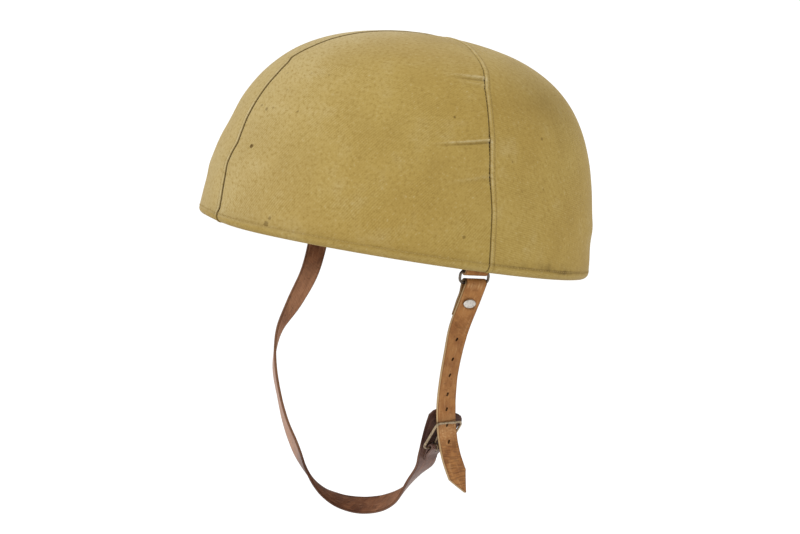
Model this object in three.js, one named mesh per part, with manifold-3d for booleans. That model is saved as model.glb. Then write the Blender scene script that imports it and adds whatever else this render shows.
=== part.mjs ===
// Riding helmet: a hard shell under a sewn canvas cover of four panels,
// held on by a two-part leather chin strap.
// Millimetres, +Z up. The face looks along -Y and the wearer's left is +X.
// The shapes are worked out with the rim at height 0, and the finished group is lowered so that
// the origin is the top of the hollow, where the helmet sits on the head.
import * as THREE from "three";
import { mergeVertices } from "three/addons/utils/BufferGeometryUtils.js";
import Module from "manifold-3d";

const wasm = await Module();
wasm.setup();

// ---------------------------------------------------------------- driving dimensions

const GAP = 0.3; // between pieces that touch
const DEGREE = Math.PI / 180;

const HELMET = {
  halfLength: 140,
  halfWidth: 112,
  crownHeight: 143.4,
  crownSetBack: 5.2, // how far the crown lies behind the middle of the rim
  rimLevel: 0.017, // where on the profile, counted from the rim up, the wall starts to turn round the rim
};

// The profile from rim to crown is a cubic curve. Its wall handle sets how upright the wall is,
// its crown handle how flat the top is, and lean how far the wall closes in above the rim.
const PROFILE = {
  front: { wallHandle: 0.595, crownHandle: 0.805, lean: 0.025 },
  rear: { wallHandle: 0.663, crownHandle: 0.777, lean: 0.065 },
};

// A soft shoulder runs across the brow.
const BROW = { rise: 0.9, height: 46, heightSpread: 11, angleSpread: 38 * DEGREE };

const CLOTH = 1.2; // canvas
const SHELL_WALL = 5.2;
const UNDER_CLOTH = GAP + 0.4; // between shell and cloth: flat facets of a curved wall reach 0.4 past it
const RIM_RADIUS = SHELL_WALL / 2 + UNDER_CLOTH + CLOTH; // of the rounded edge, outside the cover
const SHELL_INSIDE = CLOTH + UNDER_CLOTH + SHELL_WALL; // depth of the hollow's wall under the outside
const HEM_HEIGHT = 12; // how far the cover reaches up inside the rim

// Seams between the panels: the angle at the rim, counted from the wearer's left towards the rear,
// and how far the seam sways from it halfway up.
const SEAMS = {
  front: { angle: -90, sway: -2.8 },
  left: { angle: -1.7, sway: -5.1 },
  rear: { angle: 90, sway: 0 },
  right: { angle: 181.7, sway: 5.1 },
};

// Each panel lies between two seams, and the seam allowance under it raises a welt beside a seam.
const PANELS = [
  { name: "cover_front_left", from: "front", to: "left", weltAtStart: false, weltAtEnd: false, turn: 0 },
  { name: "cover_rear_left", from: "left", to: "rear", weltAtStart: true, weltAtEnd: false, turn: 0 },
  { name: "cover_rear_right", from: "rear", to: "right", weltAtStart: true, weltAtEnd: true, turn: 0 },
  { name: "cover_front_right", from: "right", to: "front", weltAtStart: false, weltAtEnd: true, turn: 360 },
];

// Cross-section of the cover beside a seam: how far it stands proud at each distance from the seam.
const WELT_SECTION = [
  { distance: 0.15, plain: -0.5, welt: -0.4 },
  { distance: 0.9, plain: -0.05, welt: 0.5 },
  { distance: 3.4, plain: 0, welt: 0.5 },
  { distance: 4.6, plain: 0, welt: 0 },
];

// Puckers pulled in by the left seam: shallow valleys that run from the seam towards the face.
// Each starts at seamHeight, and falls by this much by the end of its reach.
const PUCKERS = [
  { seamHeight: 59, fall: 8, depth: 0.4, spread: 6, reach: 12 * DEGREE },
  { seamHeight: 81, fall: 7, depth: 0.8, spread: 6, reach: 17 * DEGREE },
  { seamHeight: 119, fall: 1, depth: 0.6, spread: 7, reach: 14 * DEGREE },
];

const STRAP = { width: 16, shortThickness: 1.8, longThickness: 1.8 };

// Ring on the wearer's left: a rounded rectangle of wire that hangs from the tab by its upper bar.
const RING = {
  x: 98.2,
  y: -5.2,
  upperBar: -1.2,
  lowerBar: -8.6,
  across: 22.2,
  wire: 1.8,
  corner: 3,
  tilt: 4,
};

const TAB = { width: 17.5, thickness: 1.6, rivetHeight: 19, topHeight: 27 };
const WALL_CLEARANCE = 1; // between flat leather and the curved inside of the shell

// Front layer of the short strap, from the ring down to its point.
// turn is the twist round the strap's own line and skew the slant of its width, both in degrees.
const SHORT_STRAP = [
  { x: 100.5, y: -4.5, z: -8.6, turn: 0, skew: 18 },
  { x: 100.5, y: -7.8, z: -22, turn: -4, skew: 3 },
  { x: 100.5, y: -11.6, z: -38, turn: -6, skew: 0 },
  { x: 100.3, y: -12.5, z: -54, turn: -13, skew: 0 },
  { x: 99.5, y: -11.9, z: -71, turn: -15, skew: 0 },
  { x: 98.7, y: -9.4, z: -88, turn: -12, skew: 0 },
  { x: 98.5, y: -5.2, z: -104, turn: -12, skew: 0 },
  { x: 99.8, y: -0.2, z: -118, turn: -11, skew: 0 },
  { x: 102.2, y: 5.7, z: -130, turn: -9, skew: 0 },
  { x: 105.6, y: 13.1, z: -142.2, turn: -8, skew: 0 },
];
const SHORT_STRAP_END = { point: 13, backLayer: 25, rivetAt: 13.5, pinchedAt: 8 };
const HOLES = { first: 37.5, pitch: 11.2, count: 7, length: 3, width: 1.9, slant: 30 };

// The long strap: from its anchor inside the rim on the wearer's right, round under the chin, to the buckle.
const LONG_STRAP = [
  { x: -100.7, y: 1.5, z: 27, turn: 0, width: 16 },
  { x: -100.5, y: 2.5, z: 9, turn: 0, width: 16 },
  { x: -100.8, y: 4, z: -11, turn: -3, width: 16 },
  { x: -101.6, y: 2, z: -34, turn: -8, width: 16 },
  { x: -102.5, y: -5.5, z: -56, turn: -20, width: 16 },
  { x: -102, y: -14.3, z: -77, turn: -44, width: 16 },
  { x: -96, y: -17.5, z: -98, turn: -54, width: 16 },
  { x: -84.5, y: -17, z: -118, turn: -56, width: 16 },
  { x: -70, y: -15.5, z: -137.5, turn: -62, width: 16 },
  { x: -52.5, y: -13.5, z: -153.5, turn: -62, width: 16 },
  { x: -32.5, y: -11.5, z: -167, turn: -36, width: 16 },
  { x: -9.5, y: -9.2, z: -173, turn: 4, width: 16 },
  { x: 14.5, y: -7, z: -172.7, turn: 34, width: 16 },
  { x: 38, y: -5, z: -167, turn: 48, width: 16 },
  { x: 58.5, y: -4.5, z: -156.5, turn: 48, width: 16 },
  { x: 75, y: -5, z: -139.3, turn: 26, width: 16 },
  { x: 85.5, y: -6.8, z: -121, turn: 14, width: 17.5 },
  { x: 90.6, y: -5.8, z: -106, turn: 8, width: 25 },
  { x: 93.4, y: -2.6, z: -92, turn: 4, width: 30 },
];
const LONG_STRAP_END = { frontCorner: 12, rearCorner: 6, anchorHeight: 19 };

// Buckle: a wire frame whose lower bar is held on the long strap, leaning outwards over the short strap.
// Across and high are counted between the middles of the wires.
const BUCKLE = {
  x: 97.1,
  y: -6.6,
  z: -107.4,
  across: 22.4,
  high: 20.8,
  wire: 1.6,
  corner: 3,
  lean: 29,
  roll: 5,
  yaw: 10,
};
const PRONG = { wire: 1.3, length: 17.5, lean: 20, hook: 230 };
const CHAPE = { width: 10, thickness: 1.2, leg: 9, slot: 3, slotReach: 6, seatGap: 0.6 };

const OVAL_RIVET = { length: 10, width: 5.7, rise: 1.1, shank: 2.6, turn: 16 };
const PLAIN_RIVET = { head: 9, rise: 1.6, shank: 3.2, sunk: 3 };

// ---------------------------------------------------------------- materials

const COLOURS = {
  canvas: { color: "#b39a58", roughness: 0.9, metalness: 0 },
  shellBody: { color: "#8f7a4e", roughness: 0.85, metalness: 0 },
  tanLeather: { color: "#9a6d46", roughness: 0.55, metalness: 0 },
  brownLeather: { color: "#684630", roughness: 0.6, metalness: 0 },
  darkSteel: { color: "#4a4541", roughness: 0.4, metalness: 0.9 },
  nickel: { color: "#cdbf9c", roughness: 0.3, metalness: 0.9 },
};
const MATERIALS = Object.fromEntries(
  Object.entries(COLOURS).map(([name, look]) => [name, new THREE.MeshStandardMaterial({ name, ...look })]),
);

// ---------------------------------------------------------------- small helpers

const mix = (a, b, share) => a + (b - a) * share;
const bell = (value, centre, spread) => Math.exp(-(((value - centre) / spread) ** 2));
const steps = (count) => Array.from({ length: count + 1 }, (_, i) => i / count);

// Closed geometry from points and faces: equal points are merged and collapsed faces dropped.
function closedGeometry(points, faces) {
  const places = new Map();
  const positions = [];
  const merged = points.map((p) => {
    const key = p.toArray().map((v) => Math.round(v * 500)).join(",");
    if (!places.has(key)) {
      places.set(key, positions.length / 3);
      positions.push(p.x, p.y, p.z);
    }
    return places.get(key);
  });
  const index = faces
    .map((face) => face.map((corner) => merged[corner]))
    .filter(([a, b, c]) => a !== b && b !== c && c !== a)
    .flat();
  const geometry = new THREE.BufferGeometry();
  geometry.setAttribute("position", new THREE.Float32BufferAttribute(positions, 3));
  geometry.setIndex(index);
  return geometry;
}

// Triangles of a grid of points with rows x columns, counted from the first point.
function gridFaces(first, rows, columns, wraps, flipped) {
  const faces = [];
  const across = wraps ? columns : columns - 1;
  for (let row = 0; row < rows - 1; row++) {
    for (let column = 0; column < across; column++) {
      const a = first + row * columns + column;
      const b = first + row * columns + ((column + 1) % columns);
      const quad = [[a, b, b + columns], [a, b + columns, a + columns]];
      faces.push(...(flipped ? quad.map((face) => [...face].reverse()) : quad));
    }
  }
  return faces;
}

function toManifold(geometry) {
  const plain = geometry.index ? geometry.toNonIndexed() : geometry.clone();
  plain.deleteAttribute("normal");
  plain.deleteAttribute("uv");
  const merged = mergeVertices(plain, 1e-4);
  return new wasm.Manifold(
    new wasm.Mesh({
      numProp: 3,
      vertProperties: merged.attributes.position.array,
      triVerts: new Uint32Array(merged.index.array),
    }),
  );
}

function fromManifold(solid) {
  const mesh = solid.getMesh();
  const geometry = new THREE.BufferGeometry();
  geometry.setAttribute("position", new THREE.Float32BufferAttribute(mesh.vertProperties, 3));
  geometry.setIndex(Array.from(mesh.triVerts));
  return geometry;
}

// A cylinder from one point along a direction.
function pin(radius, length, sides, start, direction) {
  const geometry = new THREE.CylinderGeometry(radius, radius, length, sides);
  geometry.translate(0, length / 2, 0);
  const axis = new THREE.Vector3(0, 1, 0);
  const turn = new THREE.Quaternion().setFromUnitVectors(axis, direction.clone().normalize());
  return geometry.applyQuaternion(turn).translate(start.x, start.y, start.z);
}

function named(name, geometry, material) {
  geometry.computeVertexNormals();
  const mesh = new THREE.Mesh(geometry, MATERIALS[material]);
  mesh.name = name;
  return mesh;
}

// ---------------------------------------------------------------- the dome

// Outside of the cover at an angle round the head and a level from 0 at the rim to 1 at the crown.
function domePoint(angle, level) {
  const rearShare = (Math.sin(angle) + 1) / 2;
  const wallHandle = mix(PROFILE.front.wallHandle, PROFILE.rear.wallHandle, rearShare);
  const crownHandle = mix(PROFILE.front.crownHandle, PROFILE.rear.crownHandle, rearShare);
  const lean = mix(PROFILE.front.lean, PROFILE.rear.lean, rearShare);
  const rest = 1 - level;
  const reach = rest ** 3 + 3 * rest ** 2 * level * (1 - lean) + 3 * rest * level ** 2 * crownHandle;
  const rise = 3 * rest ** 2 * level * wallHandle + 3 * rest * level ** 2 + level ** 3;
  const height = HELMET.crownHeight * rise;
  const fromFront = Math.atan2(Math.cos(angle), -Math.sin(angle));
  const shoulder = bell(height, BROW.height, BROW.heightSpread) * bell(fromFront, 0, BROW.angleSpread);
  const brow = BROW.rise * shoulder;
  return new THREE.Vector3(
    (reach * HELMET.halfWidth + brow) * Math.cos(angle),
    (reach * HELMET.halfLength + brow) * Math.sin(angle) + HELMET.crownSetBack * (1 - reach ** 2),
    height,
  );
}

function domeFrame(angle, level) {
  const small = 1e-3;
  const point = domePoint(angle, level);
  const above = domePoint(angle, Math.min(level + small, 1));
  const up = above.sub(domePoint(angle, Math.max(level - small, 0))).normalize();
  const round = domePoint(angle + small, level).sub(domePoint(angle - small, level));
  const nearCrown = level > 1 - small;
  const out = nearCrown ? new THREE.Vector3(0, 0, 1) : round.cross(up).normalize();
  return { point, up, out };
}

// A point of the wall, depth below the outside of the cover.
function wallPoint(angle, level, depth) {
  const { point, out } = domeFrame(angle, level);
  return point.addScaledVector(out, -depth);
}

// A point of the rounded rim: radius from the middle of the wall, turned from outside (0) to inside (pi).
function rimPoint(angle, radius, turned) {
  const { point, up, out } = domeFrame(angle, HELMET.rimLevel);
  return point
    .addScaledVector(out, -RIM_RADIUS + radius * Math.cos(turned))
    .addScaledVector(up, -radius * Math.sin(turned));
}

// Level of the profile that lies at a height on the wearer's left side.
function levelAtHeight(height) {
  let low = 0;
  let high = 1;
  for (let i = 0; i < 40; i++) {
    const middle = (low + high) / 2;
    if (domePoint(0, middle).z < height) low = middle;
    else high = middle;
  }
  return low;
}

const HEM_LEVEL = levelAtHeight(HEM_HEIGHT);
const RIM_TURNS = 5;

// ---------------------------------------------------------------- shell

function shellGeometry() {
  const columns = 40;
  const outside = CLOTH + UNDER_CLOTH;
  const bodyRows = steps(12).map((share) => mix(HELMET.rimLevel, 1, share)).reverse();
  const hoop = (place) => steps(columns).slice(0, columns).map((share) => place(share * 2 * Math.PI));
  const wallHoop = (level, depth) => hoop((angle) => wallPoint(angle, level, depth));
  const rimHoop = (share) => hoop((angle) => rimPoint(angle, SHELL_WALL / 2, share * Math.PI));
  const rows = [
    ...bodyRows.map((level) => wallHoop(level, outside)),
    ...steps(RIM_TURNS).slice(1, -1).map(rimHoop),
    ...[...bodyRows].reverse().map((level) => wallHoop(level, SHELL_INSIDE)),
  ];
  return closedGeometry(rows.flat(), gridFaces(0, rows.length, columns, true, true));
}

// ---------------------------------------------------------------- cover

function seamAngle(seam, level) {
  const { angle, sway } = SEAMS[seam];
  return (angle + sway * Math.sin(Math.PI * level)) * DEGREE;
}

// Places across a panel at one level: each has an angle and how far the cloth stands proud there.
function panelColumns(panel, level) {
  const start = seamAngle(panel.from, level);
  const end = seamAngle(panel.to, level) + panel.turn * DEGREE;
  const reach = domePoint(0, level).x + domePoint(Math.PI / 2, level).y - HELMET.crownSetBack;
  const radius = Math.max(reach / 2, 0.01);
  const width = (end - start) * radius;
  const shrink = Math.min(1, width / 30);
  const beside = (welt) =>
    WELT_SECTION.map((row) => ({
      distance: Math.min(row.distance * (row.distance > 0.2 ? shrink : 1), width / 2),
      rise: (welt ? row.welt : row.plain) * shrink,
    }));
  const first = beside(panel.weltAtStart);
  const last = beside(panel.weltAtEnd).reverse();
  const edge = first.at(-1).distance;
  const shares = steps(10).slice(1, -1);
  const middle = shares.map((share) => ({ distance: mix(edge, width - edge, share), rise: 0 }));
  const fromEnd = last.map((place) => ({ ...place, distance: width - place.distance }));
  const places = [...first, ...middle, ...fromEnd];
  return places.map(({ distance, rise }) => ({ angle: start + distance / radius, rise }));
}

function puckerDepth(panel, angle, level) {
  if (panel.name !== "cover_front_left") return 0;
  const height = domePoint(angle, level).z;
  const fromSeam = seamAngle("left", level) - angle;
  const pull = ({ seamHeight, fall, depth, spread, reach }) =>
    depth * bell(height, seamHeight - (fall * fromSeam) / reach, spread) * bell(fromSeam, 0, reach);
  return PUCKERS.reduce((sum, pucker) => sum + pull(pucker), 0);
}

// Both faces of a panel, row by row: up inside the rim, round it, and over the outside to the crown.
function panelGeometry(panel) {
  const tip = 0.9985; // the cloth ends in a point here, just short of the crown's middle
  const bodyLevels = steps(15).map((share) => mix(HELMET.rimLevel, tip, share));
  const rimColumns = panelColumns(panel, HELMET.rimLevel);
  const hemDepth = 2 * RIM_RADIUS;
  const face = (inner) => {
    const cloth = inner ? CLOTH : 0;
    const radius = RIM_RADIUS - cloth;
    const rows = [];
    for (const level of [HEM_LEVEL, mix(HELMET.rimLevel, HEM_LEVEL, 0.5)]) {
      rows.push(rimColumns.map(({ angle }) => wallPoint(angle, level, hemDepth - cloth)));
    }
    for (const share of steps(RIM_TURNS).slice(0, -1).reverse()) {
      const turned = (share + 1 / RIM_TURNS) * Math.PI;
      const rise = inner ? 0 : Math.max(Math.cos(turned / 2), 0);
      rows.push(rimColumns.map((place) => rimPoint(place.angle, radius + rise * place.rise, turned)));
    }
    for (const level of bodyLevels) {
      rows.push(
        panelColumns(panel, level).map(({ angle, rise }) => {
          const proud = inner ? 0 : rise - puckerDepth(panel, angle, level);
          return wallPoint(angle, level, cloth - proud);
        }),
      );
    }
    const last = rows.at(-1);
    const point = last[Math.floor(last.length / 2)];
    rows[rows.length - 1] = last.map(() => point.clone());
    return rows;
  };
  const outer = face(false);
  const inner = face(true);
  const rows = outer.length;
  const columns = outer[0].length;
  const count = rows * columns;
  const faces = gridFaces(0, rows, columns, false, false);
  faces.push(...gridFaces(count, rows, columns, false, true));
  const wall = (a, b) => faces.push([a, count + a, count + b], [a, count + b, b]);
  for (let column = 0; column < columns - 1; column++) wall(column, column + 1);
  for (let row = 0; row < rows - 1; row++) {
    wall((row + 1) * columns, row * columns);
    wall(row * columns + columns - 1, (row + 1) * columns + columns - 1);
  }
  return closedGeometry([...outer.flat(), ...inner.flat()], faces);
}

// ---------------------------------------------------------------- straps

// Smooth run through the rows of a table: every named column follows a Catmull-Rom curve.
function smoothRows(rows, between) {
  const at = (i) => rows[Math.min(Math.max(i, 0), rows.length - 1)];
  const curve = (a, b, c, d, t) =>
    0.5 * (2 * b + (c - a) * t + (2 * a - 5 * b + 4 * c - d) * t ** 2 + (3 * b - a - 3 * c + d) * t ** 3);
  const run = [];
  for (let i = 0; i < rows.length - 1; i++) {
    for (const t of steps(between).slice(0, -1)) {
      const row = {};
      for (const column of Object.keys(rows[i])) {
        row[column] = curve(at(i - 1)[column], at(i)[column], at(i + 1)[column], at(i + 2)[column], t);
      }
      run.push(row);
    }
  }
  return [...run, { ...rows.at(-1) }];
}

// Sections of a strap along smoothed rows: centre, along, across, face, and the length from the start.
function strapSections(rows) {
  const centres = rows.map((row) => new THREE.Vector3(row.x, row.y, row.z));
  let from = 0;
  return rows.map((row, i) => {
    const before = centres[Math.max(i - 1, 0)];
    const after = centres[Math.min(i + 1, rows.length - 1)];
    const along = after.clone().sub(before).normalize();
    const level = new THREE.Vector3(0, 1, 0).addScaledVector(along, -along.y).normalize();
    const across = level.applyAxisAngle(along, (row.turn ?? 0) * DEGREE);
    const face = along.clone().cross(across).normalize();
    across.applyAxisAngle(face, (row.skew ?? 0) * DEGREE);
    if (i > 0) from += centres[i].distanceTo(centres[i - 1]);
    return { centre: centres[i], along, across, face, width: row.width ?? STRAP.width, from };
  });
}

// A flat band through sections, as one closed tube with four corners.
function bandGeometry(sections, thickness) {
  const corners = [[-1, -1], [1, -1], [1, 1], [-1, 1]];
  const points = sections.flatMap((section) =>
    corners.map(([side, out]) =>
      section.centre
        .clone()
        .addScaledVector(section.across, (side * section.width) / 2)
        .addScaledVector(section.face, (out * thickness) / 2),
    ),
  );
  const last = points.length - 4;
  const faces = [
    ...gridFaces(0, sections.length, 4, true, false),
    [0, 2, 1],
    [0, 3, 2],
    [last, last + 1, last + 2],
    [last, last + 2, last + 3],
  ];
  return closedGeometry(points, faces);
}

// Section at a length along the strap, between two neighbours.
function sectionAt(sections, length) {
  const i = Math.max(sections.findIndex((section) => section.from >= length), 1);
  const [a, b] = [sections[i - 1], sections[i]];
  const share = (length - a.from) / (b.from - a.from);
  return {
    centre: a.centre.clone().lerp(b.centre, share),
    along: a.along.clone().lerp(b.along, share).normalize(),
    across: a.across.clone().lerp(b.across, share).normalize(),
    face: a.face.clone().lerp(b.face, share).normalize(),
    width: mix(a.width, b.width, share),
    from: length,
  };
}

// Sections near an end, with the width that the end's outline leaves at each distance from it.
function shapedEnd(sections, distances, widthLeft) {
  const total = sections.at(-1).from;
  const kept = sections.filter((section) => section.from < total - Math.max(...distances) - 0.5);
  const shaped = distances.map((distance) => {
    const section = sectionAt(sections, total - distance);
    return { ...section, width: widthLeft(section.width, distance) };
  });
  return [...kept, ...shaped];
}

// Sections of leather that turns half round a bar, from behind it (against out) to its front.
function foldSections(bar, direction, out, radius, width) {
  const over = out.clone().cross(direction).normalize();
  return steps(6).map((share) => {
    const angle = Math.PI * (1 - share);
    const face = out.clone().multiplyScalar(Math.cos(angle)).addScaledVector(over, Math.sin(angle));
    return { centre: bar.clone().addScaledVector(face, radius), across: direction.clone(), face, width };
  });
}

const OUTWARD = new THREE.Vector3(1, 0, 0);
const ringBarDirection = new THREE.Vector3(0, Math.cos(RING.tilt * DEGREE), Math.sin(RING.tilt * DEGREE));

function shortStrapFront() {
  return strapSections(smoothRows(SHORT_STRAP, 4));
}

function shortStrapGeometry() {
  const thickness = STRAP.shortThickness;
  const foldRadius = RING.wire / 2 + GAP + thickness / 2;
  const front = shortStrapFront();
  const pinched = (from) => Math.min(from / SHORT_STRAP_END.pinchedAt, 1);
  const layerGap = (from) => mix(2 * foldRadius, thickness + GAP, pinched(from));
  const back = front
    .filter((section) => section.from <= SHORT_STRAP_END.backLayer)
    .map((section) => ({
      ...section,
      centre: section.centre.clone().addScaledVector(section.face, -layerGap(section.from)),
      face: section.face.clone().negate(),
    }))
    .reverse();
  const bar = front[0].centre.clone().addScaledVector(front[0].face, -foldRadius);
  const over = foldSections(bar, front[0].across, front[0].face, foldRadius, STRAP.width).slice(1, -1);
  const tip = [13, 10, 7, 4, 1.5, 0];
  const pointed = (width, distance) => Math.max((width * distance) / SHORT_STRAP_END.point, 0.6);
  const free = shapedEnd(front, tip, pointed);
  let solid = toManifold(bandGeometry([...back, ...over, ...free], thickness));
  for (let i = 0; i < HOLES.count; i++) {
    const section = sectionAt(front, HOLES.first + i * HOLES.pitch);
    solid = solid.subtract(toManifold(slantedHole(section, thickness)));
  }
  const rivet = sectionAt(front, SHORT_STRAP_END.rivetAt);
  const bore = OVAL_RIVET.shank / 2 + GAP;
  const start = rivet.centre.clone().addScaledVector(rivet.face, -3 * thickness);
  solid = solid.subtract(toManifold(pin(bore, 6 * thickness, 12, start, rivet.face)));
  return fromManifold(solid);
}

// Cutter for one oval hole whose long side slants across the strap.
function slantedHole(section, thickness) {
  const oval = new THREE.CylinderGeometry(1, 1, 3 * thickness, 8);
  oval.scale(HOLES.width / 2, 1, HOLES.length / 2);
  const short = section.across.clone().applyAxisAngle(section.face, HOLES.slant * DEGREE);
  const long = short.clone().cross(section.face).normalize();
  const place = new THREE.Matrix4().makeBasis(short, section.face, long);
  return oval.applyMatrix4(place.setPosition(section.centre));
}

function longStrapSections() {
  const sections = strapSections(smoothRows(LONG_STRAP, 4));
  const cut = (corner, distance) => {
    const left = corner - Math.min(distance, corner);
    return corner - Math.sqrt(Math.max(corner ** 2 - left ** 2, 0));
  };
  const front = (distance) => cut(LONG_STRAP_END.frontCorner, distance);
  const rear = (distance) => cut(LONG_STRAP_END.rearCorner, distance);
  const rounding = [12, 9, 6, 3.5, 1.2, 0];
  const shaped = shapedEnd(sections, rounding, (width, distance) => width - front(distance) - rear(distance));
  shaped.slice(-rounding.length).forEach((section, i) => {
    const shift = (front(rounding[i]) - rear(rounding[i])) / 2;
    section.centre = section.centre.clone().addScaledVector(section.across, shift);
  });
  return shaped;
}

function longStrapGeometry(sections, bore) {
  return fromManifold(toManifold(bandGeometry(sections, STRAP.longThickness)).subtract(toManifold(bore)));
}

// Section of a hanging strap where it first comes down to a height.
function sectionAtHeight(sections, height) {
  const i = sections.findIndex((section) => section.centre.z <= height);
  const [a, b] = [sections[i - 1], sections[i]];
  return sectionAt(sections, mix(a.from, b.from, (a.centre.z - height) / (a.centre.z - b.centre.z)));
}

// ---------------------------------------------------------------- wire pieces

// Bent wire through points that lie in a plane with the given normal, closed on itself or with flat ends.
function wireGeometry(points, normal, wire, closed) {
  const sides = 8;
  const count = points.length;
  const rings = points.map((point, i) => {
    const before = points[closed ? (i + count - 1) % count : Math.max(i - 1, 0)];
    const after = points[closed ? (i + 1) % count : Math.min(i + 1, count - 1)];
    const side = after.clone().sub(before).normalize().cross(normal).normalize();
    return steps(sides).slice(1).map((share) => {
      const angle = share * 2 * Math.PI;
      return point
        .clone()
        .addScaledVector(normal, (wire / 2) * Math.cos(angle))
        .addScaledVector(side, (wire / 2) * Math.sin(angle));
    });
  });
  if (closed) {
    return closedGeometry([...rings, rings[0]].flat(), gridFaces(0, count + 1, sides, true, false));
  }
  const end = (point) => Array.from({ length: sides }, () => point.clone());
  const rows = [end(points[0]), ...rings, end(points.at(-1))];
  return closedGeometry(rows.flat(), gridFaces(0, rows.length, sides, true, false));
}

// Points round an upright rectangle with rounded corners, across along Y and high along Z.
function roundedRectangle(across, high, corner) {
  const [y, z] = [across / 2 - corner, high / 2 - corner];
  const corners = [[y, z, 0], [-y, z, 90], [-y, -z, 180], [y, -z, 270]];
  return corners.flatMap(([middleY, middleZ, from]) =>
    steps(4).map((share) => {
      const angle = (from + 90 * share) * DEGREE;
      return new THREE.Vector3(0, middleY + corner * Math.cos(angle), middleZ + corner * Math.sin(angle));
    }),
  );
}

function makeRing() {
  const outline = roundedRectangle(RING.across, RING.upperBar - RING.lowerBar, RING.corner);
  const mesh = named("strap_ring", wireGeometry(outline, OUTWARD, RING.wire, true), "darkSteel");
  mesh.position.set(RING.x, RING.y, (RING.upperBar + RING.lowerBar) / 2);
  mesh.rotation.x = RING.tilt * DEGREE;
  return mesh;
}

// The frame and its tongue hang together: the tongue hooks round the frame's lower bar.
function makeBuckle() {
  const buckle = new THREE.Group();
  const outline = roundedRectangle(BUCKLE.across, BUCKLE.high, BUCKLE.corner);
  buckle.add(named("buckle_frame", wireGeometry(outline, OUTWARD, BUCKLE.wire, true), "nickel"));
  const hookRadius = BUCKLE.wire / 2 + GAP + PRONG.wire / 2;
  const hook = steps(8).map((share) => {
    const angle = (180 + PRONG.hook * share) * DEGREE;
    return new THREE.Vector3(hookRadius * Math.cos(angle), 0, hookRadius * Math.sin(angle));
  });
  const tongue = [1, 0.5].map((share) => new THREE.Vector3(-hookRadius, 0, PRONG.length * share));
  const prong = named(
    "buckle_prong",
    wireGeometry([...tongue, ...hook], new THREE.Vector3(0, 1, 0), PRONG.wire, false),
    "nickel",
  );
  prong.position.z = -BUCKLE.high / 2;
  prong.rotation.y = (PRONG.lean - BUCKLE.lean) * DEGREE;
  buckle.add(prong);
  buckle.position.set(BUCKLE.x, BUCKLE.y, BUCKLE.z);
  buckle.rotation.set(BUCKLE.roll * DEGREE, BUCKLE.lean * DEGREE, BUCKLE.yaw * DEGREE, "ZXY");
  buckle.updateMatrixWorld(true);
  return buckle;
}

// ---------------------------------------------------------------- leather round the wire

// Length along the sections whose centre lies nearest to a point.
function lengthNearest(sections, point) {
  const near = (section) => section.centre.distanceToSquared(point);
  return sections.reduce((best, section) => (near(section) < near(best) ? section : best)).from;
}

// The buckle's loop: a leather strip that lies on the long strap, turns over the lower bar and comes back.
function chapeGeometry(longStrap, buckle) {
  const { thickness, width, leg } = CHAPE;
  const bar = new THREE.Vector3(0, 0, -BUCKLE.high / 2).applyMatrix4(buckle.matrixWorld);
  const barEnd = new THREE.Vector3(0, 1, -BUCKLE.high / 2).applyMatrix4(buckle.matrixWorld);
  const barDirection = barEnd.sub(bar).normalize();
  const atBar = lengthNearest(longStrap, bar);
  const under = sectionAt(longStrap, atBar);
  const out = under.face.clone().negate();
  const barLift = bar.clone().sub(under.centre).dot(out);
  const barShift = bar.clone().sub(under.centre).addScaledVector(out, -barLift);
  const foldRadius = BUCKLE.wire / 2 + GAP + thickness / 2;
  const seat = STRAP.longThickness / 2 + CHAPE.seatGap + thickness / 2;
  const layer = (distance, lift, side) => {
    const place = sectionAt(longStrap, atBar - distance);
    const lower = distance / leg;
    const outHere = place.face.clone().negate();
    const height = mix(barLift + side * foldRadius, lift, Math.min(1.6 * lower, 1));
    const centre = place.centre.clone().addScaledVector(outHere, height);
    centre.addScaledVector(barShift, 1 - lower);
    const across = barDirection.clone().lerp(place.across, lower).normalize();
    return { centre, across, face: outHere.multiplyScalar(side), width };
  };
  const over = foldSections(bar, barDirection, out, foldRadius, width);
  const down = [0.35, 0.7, 1].map((share) => share * leg);
  const inner = down.map((distance) => layer(distance, seat, -1)).reverse();
  const outer = down.map((distance) => layer(distance, seat + thickness + GAP, 1));
  const strip = toManifold(bandGeometry([...inner, ...over, ...outer], thickness));
  const slot = new THREE.BoxGeometry(8 * foldRadius, CHAPE.slot, 2 * CHAPE.slotReach);
  const up = out.clone().cross(barDirection);
  slot.applyMatrix4(new THREE.Matrix4().makeBasis(out, barDirection, up).setPosition(bar));
  return fromManifold(strip.subtract(toManifold(slot)));
}

// Inside of the shell at the middle of a side: its distance from the middle of the head.
function shellInsideAt(height, y) {
  const angle = Math.atan2(y / HELMET.halfLength, 1);
  return wallPoint(angle, levelAtHeight(height), SHELL_INSIDE).x;
}

// The tab: both layers are riveted inside the shell, and the fold under them holds the ring's upper bar.
function tabSections() {
  const { width, thickness, topHeight } = TAB;
  const radius = RING.wire / 2 + GAP + thickness / 2;
  const bar = new THREE.Vector3(RING.x, RING.y, RING.upperBar);
  const outerTop = shellInsideAt(topHeight, RING.y) - WALL_CLEARANCE - thickness / 2;
  const layer = (side, top) =>
    [0.35, 0.65, 1].map((share) => {
      const eased = share * share * (3 - 2 * share);
      const x = mix(bar.x + side * radius, top, eased);
      const centre = new THREE.Vector3(x, bar.y, mix(bar.z, topHeight, share));
      const across = new THREE.Vector3(0, -1, 0);
      return { centre, across, face: OUTWARD.clone().multiplyScalar(side), width };
    });
  const fold = foldSections(bar, ringBarDirection.clone().negate(), OUTWARD, radius, width);
  return [...layer(-1, outerTop - thickness - GAP).reverse(), ...fold, ...layer(1, outerTop)];
}

function tabGeometry() {
  const band = toManifold(bandGeometry(tabSections(), TAB.thickness));
  return fromManifold(band.subtract(toManifold(rivetBore(1, RING.y, TAB.rivetHeight, RING.x))));
}

// ---------------------------------------------------------------- rivets

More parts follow.
